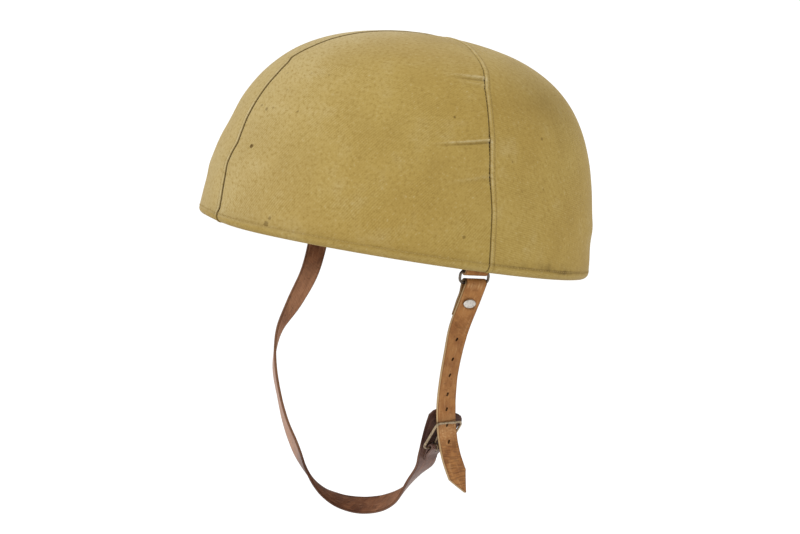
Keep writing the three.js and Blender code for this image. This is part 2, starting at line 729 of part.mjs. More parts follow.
// Cutter for a rivet's hole through leather and into the shell.
// side is 1 on the wearer's left and -1 on the right.
function rivetBore(side, y, height, leather) {
  const end = shellInsideAt(height, y) + PLAIN_RIVET.sunk + GAP;
  const start = leather - PLAIN_RIVET.shank * 2;
  const from = new THREE.Vector3(side * start, y, height);
  return pin(PLAIN_RIVET.shank / 2 + GAP, end - start, 12, from, new THREE.Vector3(side, 0, 0));
}

// A plain rivet: a low round head inside, and a shank through the leather into the shell.
function makePlainRivet(name, side, y, height, underHead) {
  const shank = shellInsideAt(height, y) + PLAIN_RIVET.sunk - underHead;
  const profile = [
    [0, -PLAIN_RIVET.rise],
    [PLAIN_RIVET.head * 0.3, -PLAIN_RIVET.rise * 0.85],
    [PLAIN_RIVET.head * 0.5, 0],
    [PLAIN_RIVET.shank / 2, 0],
    [PLAIN_RIVET.shank / 2, shank],
    [0, shank],
  ].map(([radius, along]) => new THREE.Vector2(radius, along));
  const mesh = named(name, new THREE.LatheGeometry(profile, 16), "darkSteel");
  mesh.position.set(side * underHead, y, height);
  mesh.rotation.z = (-side * Math.PI) / 2;
  return mesh;
}

// The nickel rivet of the short strap: an oval head, a shank through both layers and a flat end behind.
function makeOvalRivet(front) {
  const place = sectionAt(front, SHORT_STRAP_END.rivetAt);
  const thickness = STRAP.shortThickness;
  const seat = thickness / 2 + GAP; // under the head
  const foot = -(1.5 * thickness + 2 * GAP); // behind both layers
  const up = new THREE.Vector3(0, 1, 0);
  const ball = new THREE.SphereGeometry(1, 18, 10);
  ball.scale(OVAL_RIVET.length / 2, OVAL_RIVET.rise, OVAL_RIVET.width / 2);
  const below = new THREE.BoxGeometry(20, 4, 20).translate(0, -2, 0);
  const dome = toManifold(ball).subtract(toManifold(below)).translate([0, seat, 0]);
  const shank = pin(OVAL_RIVET.shank / 2, seat + 0.2 - foot, 12, new THREE.Vector3(0, foot, 0), up);
  const burr = pin(OVAL_RIVET.shank, 0.8, 14, new THREE.Vector3(0, foot - 0.7, 0), up);
  const solid = dome.add(toManifold(shank)).add(toManifold(burr));
  const mesh = named("strap_rivet", fromManifold(solid), "nickel");
  const along = place.across.clone().applyAxisAngle(place.face, OVAL_RIVET.turn * DEGREE);
  const third = along.clone().cross(place.face).normalize();
  mesh.quaternion.setFromRotationMatrix(new THREE.Matrix4().makeBasis(along, place.face, third));
  mesh.position.copy(place.centre);
  return mesh;
}

// ---------------------------------------------------------------- the helmet

function makeHelmet() {
  const helmet = new THREE.Group();
  const longStrap = longStrapSections();
  const buckle = makeBuckle();
  const anchor = sectionAtHeight(longStrap, LONG_STRAP_END.anchorHeight).centre;
  const tabInside = RING.x - RING.wire;

  const tabBore = rivetBore(1, RING.y, TAB.rivetHeight, tabInside);
  const anchorBore = rivetBore(-1, anchor.y, anchor.z, -anchor.x);
  const shell = toManifold(shellGeometry()).subtract(toManifold(tabBore)).subtract(toManifold(anchorBore));
  helmet.add(named("shell", fromManifold(shell), "shellBody"));
  for (const panel of PANELS) helmet.add(named(panel.name, panelGeometry(panel), "canvas"));

  helmet.add(named("ring_tab", tabGeometry(), "brownLeather"));
  helmet.add(makePlainRivet("tab_rivet", 1, RING.y, TAB.rivetHeight, tabInside));
  helmet.add(makeRing());
  helmet.add(named("strap_short", shortStrapGeometry(), "tanLeather"));
  helmet.add(makeOvalRivet(shortStrapFront()));

  helmet.add(named("strap_long", longStrapGeometry(longStrap, anchorBore), "brownLeather"));
  const anchorHead = -anchor.x - STRAP.longThickness / 2 - GAP;
  helmet.add(makePlainRivet("anchor_rivet", -1, anchor.y, anchor.z, anchorHead));
  helmet.add(named("buckle_chape", chapeGeometry(longStrap, buckle), "brownLeather"));
  helmet.add(buckle);

  helmet.position.z = SHELL_INSIDE - HELMET.crownHeight;
  const part = new THREE.Group();
  part.add(helmet);
  return part;
}

export default makeHelmet();
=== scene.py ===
# %% [markdown]
# # Dressing a canvas-covered riding helmet
# The frame already holds every piece of the helmet at its real size: a hard shell, four cover panels,
# and a chin strap in two parts with its ring, rivets and buckle. This lesson gives them their looks.
# Everything is in metres. +Z is up, the face looks along -Y, and the wearer's left is +X.

# %% Load the frame
import math

import bpy
from mathutils import Matrix, Vector, noise


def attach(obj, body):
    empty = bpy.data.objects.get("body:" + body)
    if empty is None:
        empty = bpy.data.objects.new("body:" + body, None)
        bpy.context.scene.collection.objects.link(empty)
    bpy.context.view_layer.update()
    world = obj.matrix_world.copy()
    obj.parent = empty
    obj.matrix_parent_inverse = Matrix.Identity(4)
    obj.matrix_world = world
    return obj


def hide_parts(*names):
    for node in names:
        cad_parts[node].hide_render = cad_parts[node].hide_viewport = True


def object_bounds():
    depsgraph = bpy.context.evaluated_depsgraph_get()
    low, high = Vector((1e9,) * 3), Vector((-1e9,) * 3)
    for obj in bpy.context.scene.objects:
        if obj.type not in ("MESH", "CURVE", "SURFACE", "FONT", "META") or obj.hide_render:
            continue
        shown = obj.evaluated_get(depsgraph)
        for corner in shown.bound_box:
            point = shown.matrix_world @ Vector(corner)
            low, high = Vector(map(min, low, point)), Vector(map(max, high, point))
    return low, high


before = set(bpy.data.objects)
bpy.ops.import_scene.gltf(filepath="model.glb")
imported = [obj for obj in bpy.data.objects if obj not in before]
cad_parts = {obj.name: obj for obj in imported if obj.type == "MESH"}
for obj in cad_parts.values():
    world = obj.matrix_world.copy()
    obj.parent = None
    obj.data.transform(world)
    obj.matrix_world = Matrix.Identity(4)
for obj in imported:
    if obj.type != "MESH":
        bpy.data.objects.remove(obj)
cad_low, cad_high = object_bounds()
MM = 0.001
print("frame:", len(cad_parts), "nodes, box", [round(v / MM, 1) for v in (*cad_low, *cad_high)], "mm")

# %% [markdown]
# ## Working habits
# An operator acts on whatever is selected, so each step first selects one piece and nothing else.
# A modifier is always applied, so that the shape is in the mesh and nothing is left to go wrong later.

# %% Select one piece, start one from a primitive, and apply a modifier to it


def only(piece):
    bpy.ops.object.select_all(action="DESELECT")
    piece.select_set(True)
    bpy.context.view_layer.objects.active = piece


def start_with(add_primitive, **settings):
    """Adds a primitive while nothing else is selected."""
    bpy.ops.object.select_all(action="DESELECT")
    add_primitive(**settings)
    return bpy.context.object


def modify(piece, kind, **settings):
    only(piece)
    modifier = piece.modifiers.new(kind.title(), kind)
    for name, value in settings.items():
        setattr(modifier, name, value)
    bpy.ops.object.modifier_apply(modifier=modifier.name)


bpy.ops.object.select_all(action="DESELECT")

# %% Edit mode steps: choose vertices by their place, then run operators on them


def choose(piece, wanted):
    """Selects the vertices whose place is wanted, and leaves edit mode on for the operators to come."""
    only(piece)
    bpy.ops.object.mode_set(mode="EDIT")
    bpy.ops.mesh.select_mode(type="VERT")
    bpy.ops.mesh.select_all(action="DESELECT")
    bpy.ops.object.mode_set(mode="OBJECT")
    for vertex in piece.data.vertices:
        vertex.select = wanted(vertex.co)
    bpy.ops.object.mode_set(mode="EDIT")


def leave():
    bpy.ops.object.mode_set(mode="OBJECT")


def weld(piece, distance=0.01 * MM):
    """Merges doubles and turns all faces outwards."""
    choose(piece, lambda place: True)
    bpy.ops.mesh.remove_doubles(threshold=distance)
    bpy.ops.mesh.normals_make_consistent(inside=False)
    leave()
    return piece


# %% Hand a piece over: its name, body, the nodes it stands for, and its finish


def hand_over(piece, name, material, replaced=(), smooth_under=math.radians(40)):
    piece.name = name
    piece.data.name = name
    piece.data.materials.clear()
    piece.data.materials.append(material)
    only(piece)
    bpy.ops.object.transform_apply(location=True, rotation=True, scale=True)
    bpy.ops.object.shade_smooth_by_angle(angle=smooth_under)
    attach(piece, "root")
    if replaced:
        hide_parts(*replaced)
    triangles = sum(len(face.vertices) - 2 for face in piece.data.polygons)
    print(f"{name}: {triangles} triangles")


# %% [markdown]
# ## Materials out of nodes
# Each finish is a small graph of nodes. A few helpers keep the graphs readable: one adds a node and
# connects its inputs by name, one starts a material with one shader, and the others are single nodes
# that every finish needs.

# %% Node helpers: any node, and arithmetic


def add_node(tree, kind, inputs=None, **settings):
    """An input is linked where its value is another node's output, and set where it is a plain value."""
    node = tree.nodes.new(kind)
    for name, value in settings.items():
        setattr(node, name, value)
    for name, value in (inputs or {}).items():
        if isinstance(value, bpy.types.NodeSocket):
            tree.links.new(value, node.inputs[name])
        else:
            node.inputs[name].default_value = value
    return node


def math_node(tree, operation, first, second=0.0, third=0.0, clamp=False):
    inputs = {0: first, 1: second, 2: third}
    return add_node(tree, "ShaderNodeMath", inputs, operation=operation, use_clamp=clamp).outputs[0]


def times(tree, first, second, clamp=False):
    return math_node(tree, "MULTIPLY", first, second, clamp=clamp)


def plus(tree, first, second, clamp=False):
    return math_node(tree, "ADD", first, second, clamp=clamp)


def from_vectors(tree, operation, first, second):
    """A number worked out from two vectors, such as the distance between them."""
    return add_node(tree, "ShaderNodeVectorMath", {0: first, 1: second}, operation=operation).outputs["Value"]


def fade_between(tree, value, low, high):
    """0 where value is at low or before it, 1 at high or past it."""
    inputs = {"Value": value, "From Min": low, "From Max": high}
    return add_node(tree, "ShaderNodeMapRange", inputs, interpolation_type="SMOOTHSTEP").outputs[0]


def ranged(tree, value, low, high):
    """From low, where value is 0, to high, where it is 1."""
    return add_node(tree, "ShaderNodeMapRange", {"Value": value, "To Min": low, "To Max": high}).outputs[0]


# %% Node helpers: places, patterns, colour and relief


def object_place(tree):
    return add_node(tree, "ShaderNodeTexCoord").outputs["Object"]


def cut_map(tree):
    return add_node(tree, "ShaderNodeUVMap", uv_map="cut").outputs[0]


def attribute(tree, name):
    return add_node(tree, "ShaderNodeAttribute", attribute_name=name).outputs["Fac"]


def stretched(tree, place, factors):
    return add_node(tree, "ShaderNodeMapping", {"Vector": place, "Scale": factors}).outputs[0]


def speckle(tree, place, size, detail=2.0, roughness=0.5, distortion=0.0):
    """Noise whose blobs are about this size, from 0 to 1."""
    inputs = {"Vector": place, "Scale": 1 / size, "Detail": detail, "Roughness": roughness}
    inputs["Distortion"] = distortion
    return add_node(tree, "ShaderNodeTexNoise", inputs).outputs["Fac"]


def blend_colour(tree, share, first, second):
    return add_node(tree, "ShaderNodeMix", {0: share, 6: first, 7: second}, data_type="RGBA").outputs[2]


def raised(tree, height, strength, depth):
    """The shading of a surface with these heights, which the mesh itself doesn't have."""
    inputs = {"Height": height, "Strength": strength, "Distance": depth}
    return add_node(tree, "ShaderNodeBump", inputs).outputs[0]


# %% Start a material, and finish it


def start_material(name, roughness, specular=0.5, metallic=0.0):
    material = bpy.data.materials.new(name)
    material.use_nodes = True
    shader = material.node_tree.nodes["Principled BSDF"]
    shader.inputs["Roughness"].default_value = roughness
    shader.inputs["Specular IOR Level"].default_value = specular
    shader.inputs["Metallic"].default_value = metallic
    return material, material.node_tree, shader


def coat(tree, shader, body, normal, **others):
    """Connects the shader's colour and normal, and other inputs by name with _ for each space."""
    tree.links.new(body, shader.inputs["Base Color"])
    tree.links.new(normal, shader.inputs["Normal"])
    for name, value in others.items():
        tree.links.new(value, shader.inputs[name.replace("_", " ")])


def colour(red, green, blue):
    """A paint-shop colour from 0 to 255, as the linear values that nodes use."""
    shares = [value / 255 for value in (red, green, blue)]
    linear = [share / 12.92 if share <= 0.04045 else ((share + 0.055) / 1.055) ** 2.4 for share in shares]
    return (*linear, 1.0)


# %% [markdown]
# ## The dome
# The cover and the shell share one form. In plan it is an oval, longer front to back. From the rim to
# the crown it follows a cubic curve, a little fuller behind than in front, with the crown set back.
# One function gives the outside of the cover; everything else on the dome is laid at a depth under it.

# %% The form's driving sizes
HALF_LENGTH = 140 * MM
HALF_WIDTH = 112 * MM
CROWN_HEIGHT = 143.4 * MM
CROWN_SET_BACK = 5.2 * MM
RIM_Z = cad_high.z - CROWN_HEIGHT
RIM_LEVEL = 0.017  # where, from 0 at the rim to 1 at the crown, the wall starts to turn round the rim
FRONT = {"wall_handle": 0.595, "crown_handle": 0.805, "lean": 0.025}
REAR = {"wall_handle": 0.663, "crown_handle": 0.777, "lean": 0.065}
BROW = {"rise": 0.9 * MM, "height": 46 * MM, "height_spread": 11 * MM, "angle_spread": math.radians(38)}
CROWN_SETTLING = 0.8 * MM  # the top has sunk a little under its own weight
# Beside the face the rim curls up, by this rise, around this angle in degrees.
RIM_LIFT = {"angle": -106, "spread": 18, "rise": 2.4 * MM, "fading_and_highlight": 26 * MM}
print("rim at height", round(RIM_Z / MM, 1), "mm")

# %% Points on the dome


def mix(first, second, share):
    return first + (second - first) * share


def bell(value, centre, spread):
    return math.exp(-(((value - centre) / spread) ** 2))


def step_up(value, low, high):
    share = min(max((value - low) / (high - low), 0.0), 1.0)
    return share * share * (3 - 2 * share)


def degrees_from(centre, angle):
    """How far an angle has turned from the centre, in degrees from -180 to 180."""
    return (math.degrees(angle) - centre + 180) % 360 - 180


def dome_point(angle, level):
    """Outside of the cover. The angle turns from the wearer's left to the rear; the level climbs."""
    rear = (math.sin(angle) + 1) / 2
    wall_handle = mix(FRONT["wall_handle"], REAR["wall_handle"], rear)
    crown_handle = mix(FRONT["crown_handle"], REAR["crown_handle"], rear)
    lean = mix(FRONT["lean"], REAR["lean"], rear)
    rest = 1 - level
    reach = rest**3 + 3 * rest**2 * level * (1 - lean) + 3 * rest * level**2 * crown_handle
    height = CROWN_HEIGHT * (3 * rest**2 * level * wall_handle + 3 * rest * level**2 + level**3)
    from_front = math.atan2(math.cos(angle), -math.sin(angle))
    brow = BROW["rise"] * bell(height, BROW["height"], BROW["height_spread"])
    brow *= bell(from_front, 0, BROW["angle_spread"])
    x = (reach * HALF_WIDTH + brow) * math.cos(angle)
    y = (reach * HALF_LENGTH + brow) * math.sin(angle) + CROWN_SET_BACK * (1 - reach**2)
    height -= CROWN_SETTLING * step_up(level, 0.4, 0.85)
    lift = RIM_LIFT["rise"] * bell(degrees_from(RIM_LIFT["angle"], angle), 0, RIM_LIFT["spread"])
    height += lift * (1 - step_up(height, 0, RIM_LIFT["fading_and_highlight"]))
    return Vector((x, y, RIM_Z + height))


def dome_frame(angle, level):
    """A point of the dome with the directions up the wall and straight out of it."""
    small = 1e-3
    point = dome_point(angle, level)
    up = (dome_point(angle, min(level + small, 1)) - dome_point(angle, max(level - small, 0))).normalized()
    if level > 1 - small:
        return point, up, Vector((0, 0, 1))
    around = dome_point(angle + small, level) - dome_point(angle - small, level)
    return point, up, around.cross(up).normalized()


def wall_point(angle, level, depth):
    point, _, out = dome_frame(angle, level)
    return point - out * depth


def rim_point(angle, radius, turned, middle):
    """A point round the rim. turned goes from outside to inside; middle is how deep the rim's middle lies."""
    point, up, out = dome_frame(angle, RIM_LEVEL)
    return point + out * (radius * math.cos(turned) - middle) - up * (radius * math.sin(turned))


def level_at_height(height):
    low, high = 0.0, 1.0
    for _ in range(40):
        middle = (low + high) / 2
        if dome_point(0, middle).z - RIM_Z < height:
            low = middle
        else:
            high = middle
    return low


# %% [markdown]
# ## The wall's layers
# The canvas lies over a shell of pressed fibre. The shell has the same depths as in the frame, and the
# cloth is thin enough to leave a narrow gap over it. The rim's radius is half of all the layers
# together, so the canvas turns round it evenly.

# %% Depths of the layers
CLOTH = 1.0 * MM
SHELL_OUTSIDE = 1.9 * MM
SHELL_WALL = 5.2 * MM
SHELL_INSIDE = SHELL_OUTSIDE + SHELL_WALL
RIM_RADIUS = SHELL_OUTSIDE + SHELL_WALL / 2
HEM_HEIGHT = 12 * MM  # how far the cover reaches up inside the rim
HEM_LEVEL = level_at_height(HEM_HEIGHT)
print("hem reaches level", round(HEM_LEVEL, 3), "inside the rim")

# %% [markdown]
# ## Canvas: the finish
# The cover is mustard-khaki cotton twill, matt and a little soiled. Its fine diagonal ribs are between
# one and two millimetres apart. The ribs follow each panel's own cut, so they are drawn on the panel's
# UV map, which is in metres. The clouds of fading and the marks are fixed places on the helmet, so they
# read Object coordinates. Two attributes are worked out when the panel is laid: one holds dirt together
# with painted shade in seams, grooves and creases, and one holds fading together with painted highlights
# on welts, ridges, the face and the crown.

# %% Marks on the canvas: where they lie, how large they are, and how dark
MARKS = [
    # angle in degrees and level on the dome, size in millimetres, strength from 0 to 1
    (-82.2, 0.220, 1.6, 0.9),
    (-80.6, 0.349, 0.8, 0.35),
    (-74.0, 0.500, 0.7, 0.3),
    (-66.0, 0.505, 0.7, 0.3),
    (-79.0, 0.420, 0.7, 0.25),
    (14.5, 0.230, 0.7, 0.35),
    (6.0, 0.215, 0.6, 0.3),
    (-83.5, 0.341, 1.3, 0.45),
    (-87.1, 0.349, 1.0, 0.4),
    (-86.2, 0.484, 1.0, 0.3),
    (-69.5, 0.351, 0.9, 0.4),
    (-18.6, 0.421, 0.9, 0.6),
    (14.9, 0.390, 1.2, 0.4),
    (2.0, 0.300, 0.7, 0.4),
    (-11.1, 0.077, 1.2, 0.5),
    (-50.6, 0.920, 1.2, 0.7),
    (-67.2, 0.042, 1.2, 0.45),
    (-68.0, 0.026, 1.9, 0.5),
    (150.0, 0.250, 1.2, 0.4),
    (-140.0, 0.160, 1.4, 0.35),
    (100.0, 0.420, 1.0, 0.4),
]

# %% Canvas: marks and ribs


def mark_mask(tree, place):
    """One mask for all the marks, each a blot with an uneven edge."""
    uneven = speckle(tree, place, 1.2 * MM)
    mask = None
    for angle, level, millimetres, strength in MARKS:
        size = millimetres * MM
        away = from_vectors(tree, "DISTANCE", place, dome_point(math.radians(angle), level))
        ragged = math_node(tree, "MULTIPLY_ADD", uneven, size, away)
        blot = times(tree, fade_between(tree, ragged, 1.7 * size, 1.1 * size), strength)
        mask = blot if mask is None else math_node(tree, "MAXIMUM", mask, blot)
    return mask


def ribs(tree, uv, pitch, direction, wobble):
    """Parallel ribs on the cloth, from 0 to 1. direction is across the ribs, in degrees."""
    turn = math.radians(direction)
    across = from_vectors(tree, "DOT_PRODUCT", uv, (math.cos(turn), math.sin(turn), 0))
    phase = plus(tree, times(tree, across, 2 * math.pi / pitch), times(tree, wobble, 6.0))
    return times(tree, plus(tree, math_node(tree, "SINE", phase), 1), 0.5)


# %% Canvas: from dye to dirt and painted shade, then the weave
CANVAS = {
    "body": colour(157, 134, 73),
    "warm": colour(153, 128, 66),
    "deep": colour(134, 110, 54),
    "pale": colour(179, 164, 124),
    "grime_and_shade": colour(66, 46, 18),
    "mark": colour(66, 44, 12),
}


def canvas_colour(tree, place, uv):
    clouds = speckle(tree, place, 90 * MM, detail=3)
    patches = speckle(tree, place, 22 * MM, detail=4, roughness=0.6)
    mottle = speckle(tree, uv, 2.4 * MM, detail=4, roughness=0.7)
    body = blend_colour(tree, fade_between(tree, clouds, 0.35, 0.65), CANVAS["body"], CANVAS["warm"])
    body = blend_colour(tree, times(tree, fade_between(tree, patches, 0.45, 0.8), 0.35), body, CANVAS["deep"])
    bleached = times(tree, fade_between(tree, patches, 0.5, 0.2), 0.25)
    fade_and_highlight = plus(tree, attribute(tree, "fade_and_highlight"), bleached, clamp=True)
    body = blend_colour(tree, fade_and_highlight, body, CANVAS["pale"])
    body = blend_colour(tree, times(tree, fade_between(tree, mottle, 0.45, 0.75), 0.85), body, CANVAS["deep"])
    body = blend_colour(tree, times(tree, fade_between(tree, mottle, 0.45, 0.2), 0.6), body, CANVAS["pale"])
    # dirt mixed with painted shade from seams, grooves and creases
    dirtied_and_shaded = times(tree, attribute(tree, "grime_and_shade"), 0.9, clamp=True)
    body = blend_colour(tree, dirtied_and_shaded, body, CANVAS["grime_and_shade"])
    return blend_colour(tree, mark_mask(tree, place), body, CANVAS["mark"])


def make_canvas():
    material, tree, shader = start_material("canvas", roughness=0.95, specular=0.12)
    shader.inputs["Sheen Weight"].default_value = 0.08
    shader.inputs["Sheen Roughness"].default_value = 0.35
    place, uv = object_place(tree), cut_map(tree)
    body = canvas_colour(tree, place, uv)
    wobble = speckle(tree, uv, 9 * MM)
    twill = ribs(tree, uv, 1.4 * MM, -38, wobble)
    floats = ribs(tree, uv, 0.7 * MM, 52, wobble)
    weave = plus(tree, twill, times(tree, floats, 0.45))
    worn = fade_between(tree, speckle(tree, place, 26 * MM, detail=3), 0.35, 0.65)
    worn = plus(tree, times(tree, worn, 0.75), 0.25)
    shade = times(tree, times(tree, fade_between(tree, twill, 0.6, 0.0), worn), 0.4)
    body = blend_colour(tree, shade, body, CANVAS["deep"])
    yarns = speckle(tree, stretched(tree, uv, (1, 0.2, 1)), 1.1 * MM, detail=1)
    height = plus(tree, times(tree, weave, worn), times(tree, yarns, 0.8))
    coat(tree, shader, body, raised(tree, height, 0.5, 0.12 * MM))
    return material


canvas = make_canvas()
print("canvas:", len(canvas.node_tree.nodes), "nodes,", len(MARKS), "marks")

# %% [markdown]
# ## Seams, welts and the stitched hem
# Four panels meet in four seams. The allowance under a seam lies to one side and raises a soft welt
# there, about 3.5 mm wide, held down by a row of stitches. On the other side the cloth simply dives
# into the seam. A sewn seam is never a perfect line, so each may wander a little on its way up.

# %% Seams and panels
SEAMS = {
    "front": {"angle": -90.0, "sway": -2.8},
    "left": {"angle": -1.7, "sway": -5.1},
    "rear": {"angle": 90.0, "sway": 0.0},
    "right": {"angle": 181.7, "sway": 5.1},
}
# Degrees that a seam strays from its smooth path, at levels from the rim to the crown.
WANDER = {
    "front": [
        (0, -0.6), (0.02, -0.5), (0.034, 0.5), (0.06, 0.4), (0.155, -1), (0.22, 1.5), (0.3, 0.3),
        (0.47, 0.5), (0.53, -0.5), (0.556, -3), (0.64, -1), (0.8, 0),
    ],
    "left": [
        (0, -0.2), (0.15, 0.4), (0.25, -0.2), (0.36, 0.1), (0.56, -0.4), (0.66, 0.9), (0.71, 0.6),
        (0.78, -0.5), (0.86, 0),
    ],
    "rear": [(0, 0), (0.2, 0.5), (0.42, -0.4), (0.6, 0.3), (0.8, 0)],
    "right": [(0, 0.3), (0.24, -0.4), (0.48, 0.4), (0.66, -0.4), (0.86, 0)],
}
PANELS = [
    # welts: whether the allowance lies under the cloth at the first and at the last seam
    {"side": "front_left", "from": "front", "to": "left", "welts": (False, False), "turn": 0, "grain": 0},
    {"side": "rear_left", "from": "left", "to": "rear", "welts": (True, False), "turn": 0, "grain": 62},
    {"side": "rear_right", "from": "rear", "to": "right", "welts": (True, True), "turn": 0, "grain": -50},
    {"side": "front_right", "from": "right", "to": "front", "welts": (False, True), "turn": 360, "grain": 15},
]
PUCKERED_SIDE = "front_left"  # its puckers need a finer grid, and its hem is pressed flatter


def along_rows(rows, value):
    """The second value of a short table at a place between its rows."""
    for (low, first), (high, second) in zip(rows, rows[1:]):
        if value <= high:
            return mix(first, second, max(value - low, 0) / (high - low))
    return rows[-1][1]


def seam_angle(seam, level):
    path = SEAMS[seam]
    smooth = path["angle"] + path["sway"] * math.sin(math.pi * level)
    return math.radians(smooth + along_rows(WANDER[seam], level))


# %% Cross-section beside a seam: distance from it and height, both in millimetres
PLAIN_SIDE = [(0.12, -0.75), (0.2, -0.45), (0.4, -0.2), (0.8, -0.07), (1.6, 0)]
WELT_SIDE = [
    (0.12, -0.7), (0.2, -0.3), (0.4, 0.12), (0.8, 0.4), (1.4, 0.54), (2.2, 0.46), (3.0, 0.3),
    (3.3, 0.12), (3.5, -0.02), (3.8, 0.08), (5.5, 0),
]
BESIDE_SEAM = [
    0.12, 0.2, 0.3, 0.42, 0.6, 0.8, 1.1, 1.4, 1.8, 2.2, 2.6, 3.0, 3.3, 3.5, 3.7, 4.0, 4.6, 5.5, 6.6,
]
TOPSTITCH = 3.5 * MM  # from the seam


def seam_rise(distance, welt, tightness):
    rise = along_rows(WELT_SIDE if welt else PLAIN_SIDE, distance / MM)
    return (rise if rise > 0 else rise * tightness) * MM


# How deep each seam is drawn in, how wide and dark its dirt and painted shade are, and above which level it
# thins out.
SEAM_DEPTH_AND_DARKENING = {
    "front": {"tight": 1.2, "width": 1.0, "dark": 1.0, "thins": 2.0},
    "left": {"tight": 0.8, "width": 0.55, "dark": 0.7, "thins": 0.5},
    "rear": {"tight": 0.9, "width": 0.6, "dark": 0.7, "thins": 0.7},
    "right": {"tight": 0.9, "width": 0.6, "dark": 0.7, "thins": 0.6},
}


# %% [markdown]
# The left seam is sewn a little tight, and pulls puckers into the cloth in front of it. Each is a sharp
# crease with a soft ridge above it, in a shallow valley. Between the seams the cloth isn't perfectly
# even either, because the shell under it is pressed by hand: a slow noise moves it by a quarter of a
# millimetre.

# %% Puckers and unevenness
PUCKERS = [
    # heights, falls, valleys, spreads and creases in millimetres, the reach in degrees from the seam
    {"height": 59, "fall": 11, "valley": 0.6, "spread": 6, "reach": 18, "crease": 0.32},
    {"height": 81, "fall": 10, "valley": 0.75, "spread": 6, "reach": 23, "crease": 0.8},
    {"height": 119, "fall": 2, "valley": 0.55, "spread": 6, "reach": 21, "crease": 0.65},
    {"height": 114.5, "fall": 0, "valley": 0.0, "spread": 7, "reach": 16, "crease": 0.25},
]


def pucker(angle, level, height):
    """Rise of the cloth beside the left seam, the painted shade in its creases, and the painted highlight on
    its ridges.
    """
    from_seam = math.degrees(seam_angle("left", level) - angle)
    if from_seam < 0 or from_seam > 45:
        return 0.0, 0.0, 0.0
    rise, dark, pale = 0.0, 0.0, 0.0
    for row in PUCKERS:
        share = from_seam / row["reach"]
        above = height / MM - (row["height"] - row["fall"] * share)
        fading_and_highlight = math.exp(-(share**2))
        sharp = math.exp(-((share / 0.62) ** 4))
        rise -= row["valley"] * bell(above, 0, row["spread"]) * fading_and_highlight
        rise += row["crease"] * sharp * (1.5 * bell(above, 1.3, 0.9) - 0.7 * bell(above, -0.2, 0.6))
        dark += 0.6 * row["crease"] * sharp * bell(above, -0.3, 0.6)
        pale += 0.9 * row["crease"] * sharp * bell(above, 1.1, 0.6)
    return rise * MM, min(dark, 1.0), pale


BUMPS = [
    # angle and height on the cover, how far they reach, and the rise, in degrees and millimetres
    {"angle": 51, "height": 35, "turn": 9, "reach": 7, "rise": 0.9},
    {"angle": 53, "height": 22, "turn": 9, "reach": 7, "rise": -0.5},
    {"angle": -122, "height": 67, "turn": 9, "reach": 9, "rise": -1.5},
    {"angle": -120, "height": 34, "turn": 9, "reach": 7, "rise": 0.9},
]


def unevenness(point, angle, height):
    slow = noise.noise(point / (45 * MM))
    quick = noise.noise(point / (13 * MM) + Vector((7, 3, 1)))
    rise = 0.25 * slow + 0.07 * quick
    for bump in BUMPS:
        beside = bell(degrees_from(bump["angle"], angle), 0, bump["turn"])
        rise += bump["rise"] * beside * bell(height / MM, bump["height"], bump["reach"])
    return rise * MM


# %% [markdown]
# ## Laying a panel
# A panel starts as a flat grid, like the cloth on the cutting table. The columns beside a seam keep
# their distance to it, and the others share what is left. Each row has a height: up inside the rim,
# round it, and over the outside to the crown. Laying it is one rule that moves every point of the grid
# to its place on the dome. Solidify then gives the cloth its thickness, inwards, so the outside stays
# where it was put.

# %% Rows of the grid
HEM_STITCH = 5.4 * MM  # height above the rim
HEM_TOP_LEVEL = 0.031  # the rows are closer together up to here
TIP_LEVEL = 0.9985  # the cloth ends in a point here, just short of the crown's middle
# How many rows and columns a panel has between its edges. A band is a range of levels with more rows.
GRID = {"rows": 120, "columns": 84, "bands": []}
FINE_GRID = {"rows": 150, "columns": 112, "bands": [(0.318, 0.372, 46), (0.572, 0.618, 30)]}


def grid_of(panel):
    return FINE_GRID if panel["side"] == PUCKERED_SIDE else GRID


def evenly(first, last, count):
    """This many values from the first towards the last, which isn't one of them."""
    return [mix(first, last, i / count) for i in range(count)]


def panel_rows(grid):
    inside = [("inside", level) for level in evenly(HEM_LEVEL, RIM_LEVEL, 5)]
    rim = [("rim", math.pi * (1 - i / 10)) for i in range(10)]
    levels = evenly(RIM_LEVEL, HEM_TOP_LEVEL, 12) + evenly(HEM_TOP_LEVEL, TIP_LEVEL, grid["rows"])
    levels.append(mix(HEM_TOP_LEVEL, TIP_LEVEL, 1))
    for low, high, rows in grid["bands"]:
        levels += evenly(low, high, rows)
    return inside + rim + [("wall", level) for level in sorted(set(levels))]


def tangent_radius(angle, level):
    """How far a point moves round the dome for each radian."""
    small = 1e-3
    return (dome_point(angle + small, level) - dome_point(angle - small, level)).length / (2 * small)


# %% Columns of the grid, at one level


def panel_columns(panel, level):
    """The angle of each column, and its distance to the panel's first and last seam."""
    start = seam_angle(panel["from"], level)
    end = seam_angle(panel["to"], level) + math.radians(panel["turn"])
    radii = (tangent_radius(start, level), tangent_radius(end, level))
    radius = max(sum(radii) / 2, 1e-5)
    width = (end - start) * radius
    squeeze = min(1.0, width / (30 * MM))
    beside = [distance * MM * squeeze for distance in BESIDE_SEAM]
    first = [start + distance / max(radii[0], 1e-5) for distance in beside]
    last = [end - distance / max(radii[1], 1e-5) for distance in reversed(beside)]
    count = grid_of(panel)["columns"]
    middle = [mix(first[-1], last[0], (i + 1) / (count + 1)) for i in range(count)]
    angles = first + middle + last
    return [(angle, (angle - start) * radii[0], (end - angle) * radii[1], width) for angle in angles]


# %% What the seams do to the cloth beside them


def pucker_knot(gap, height):
    """How much of a pucker's crease starts at this place beside the left seam."""
    creases = sum(row["crease"] * bell(height / MM, row["height"], 1.3) for row in PUCKERS)
    return creases * bell(gap, 0.7 * MM, 1.0 * MM)


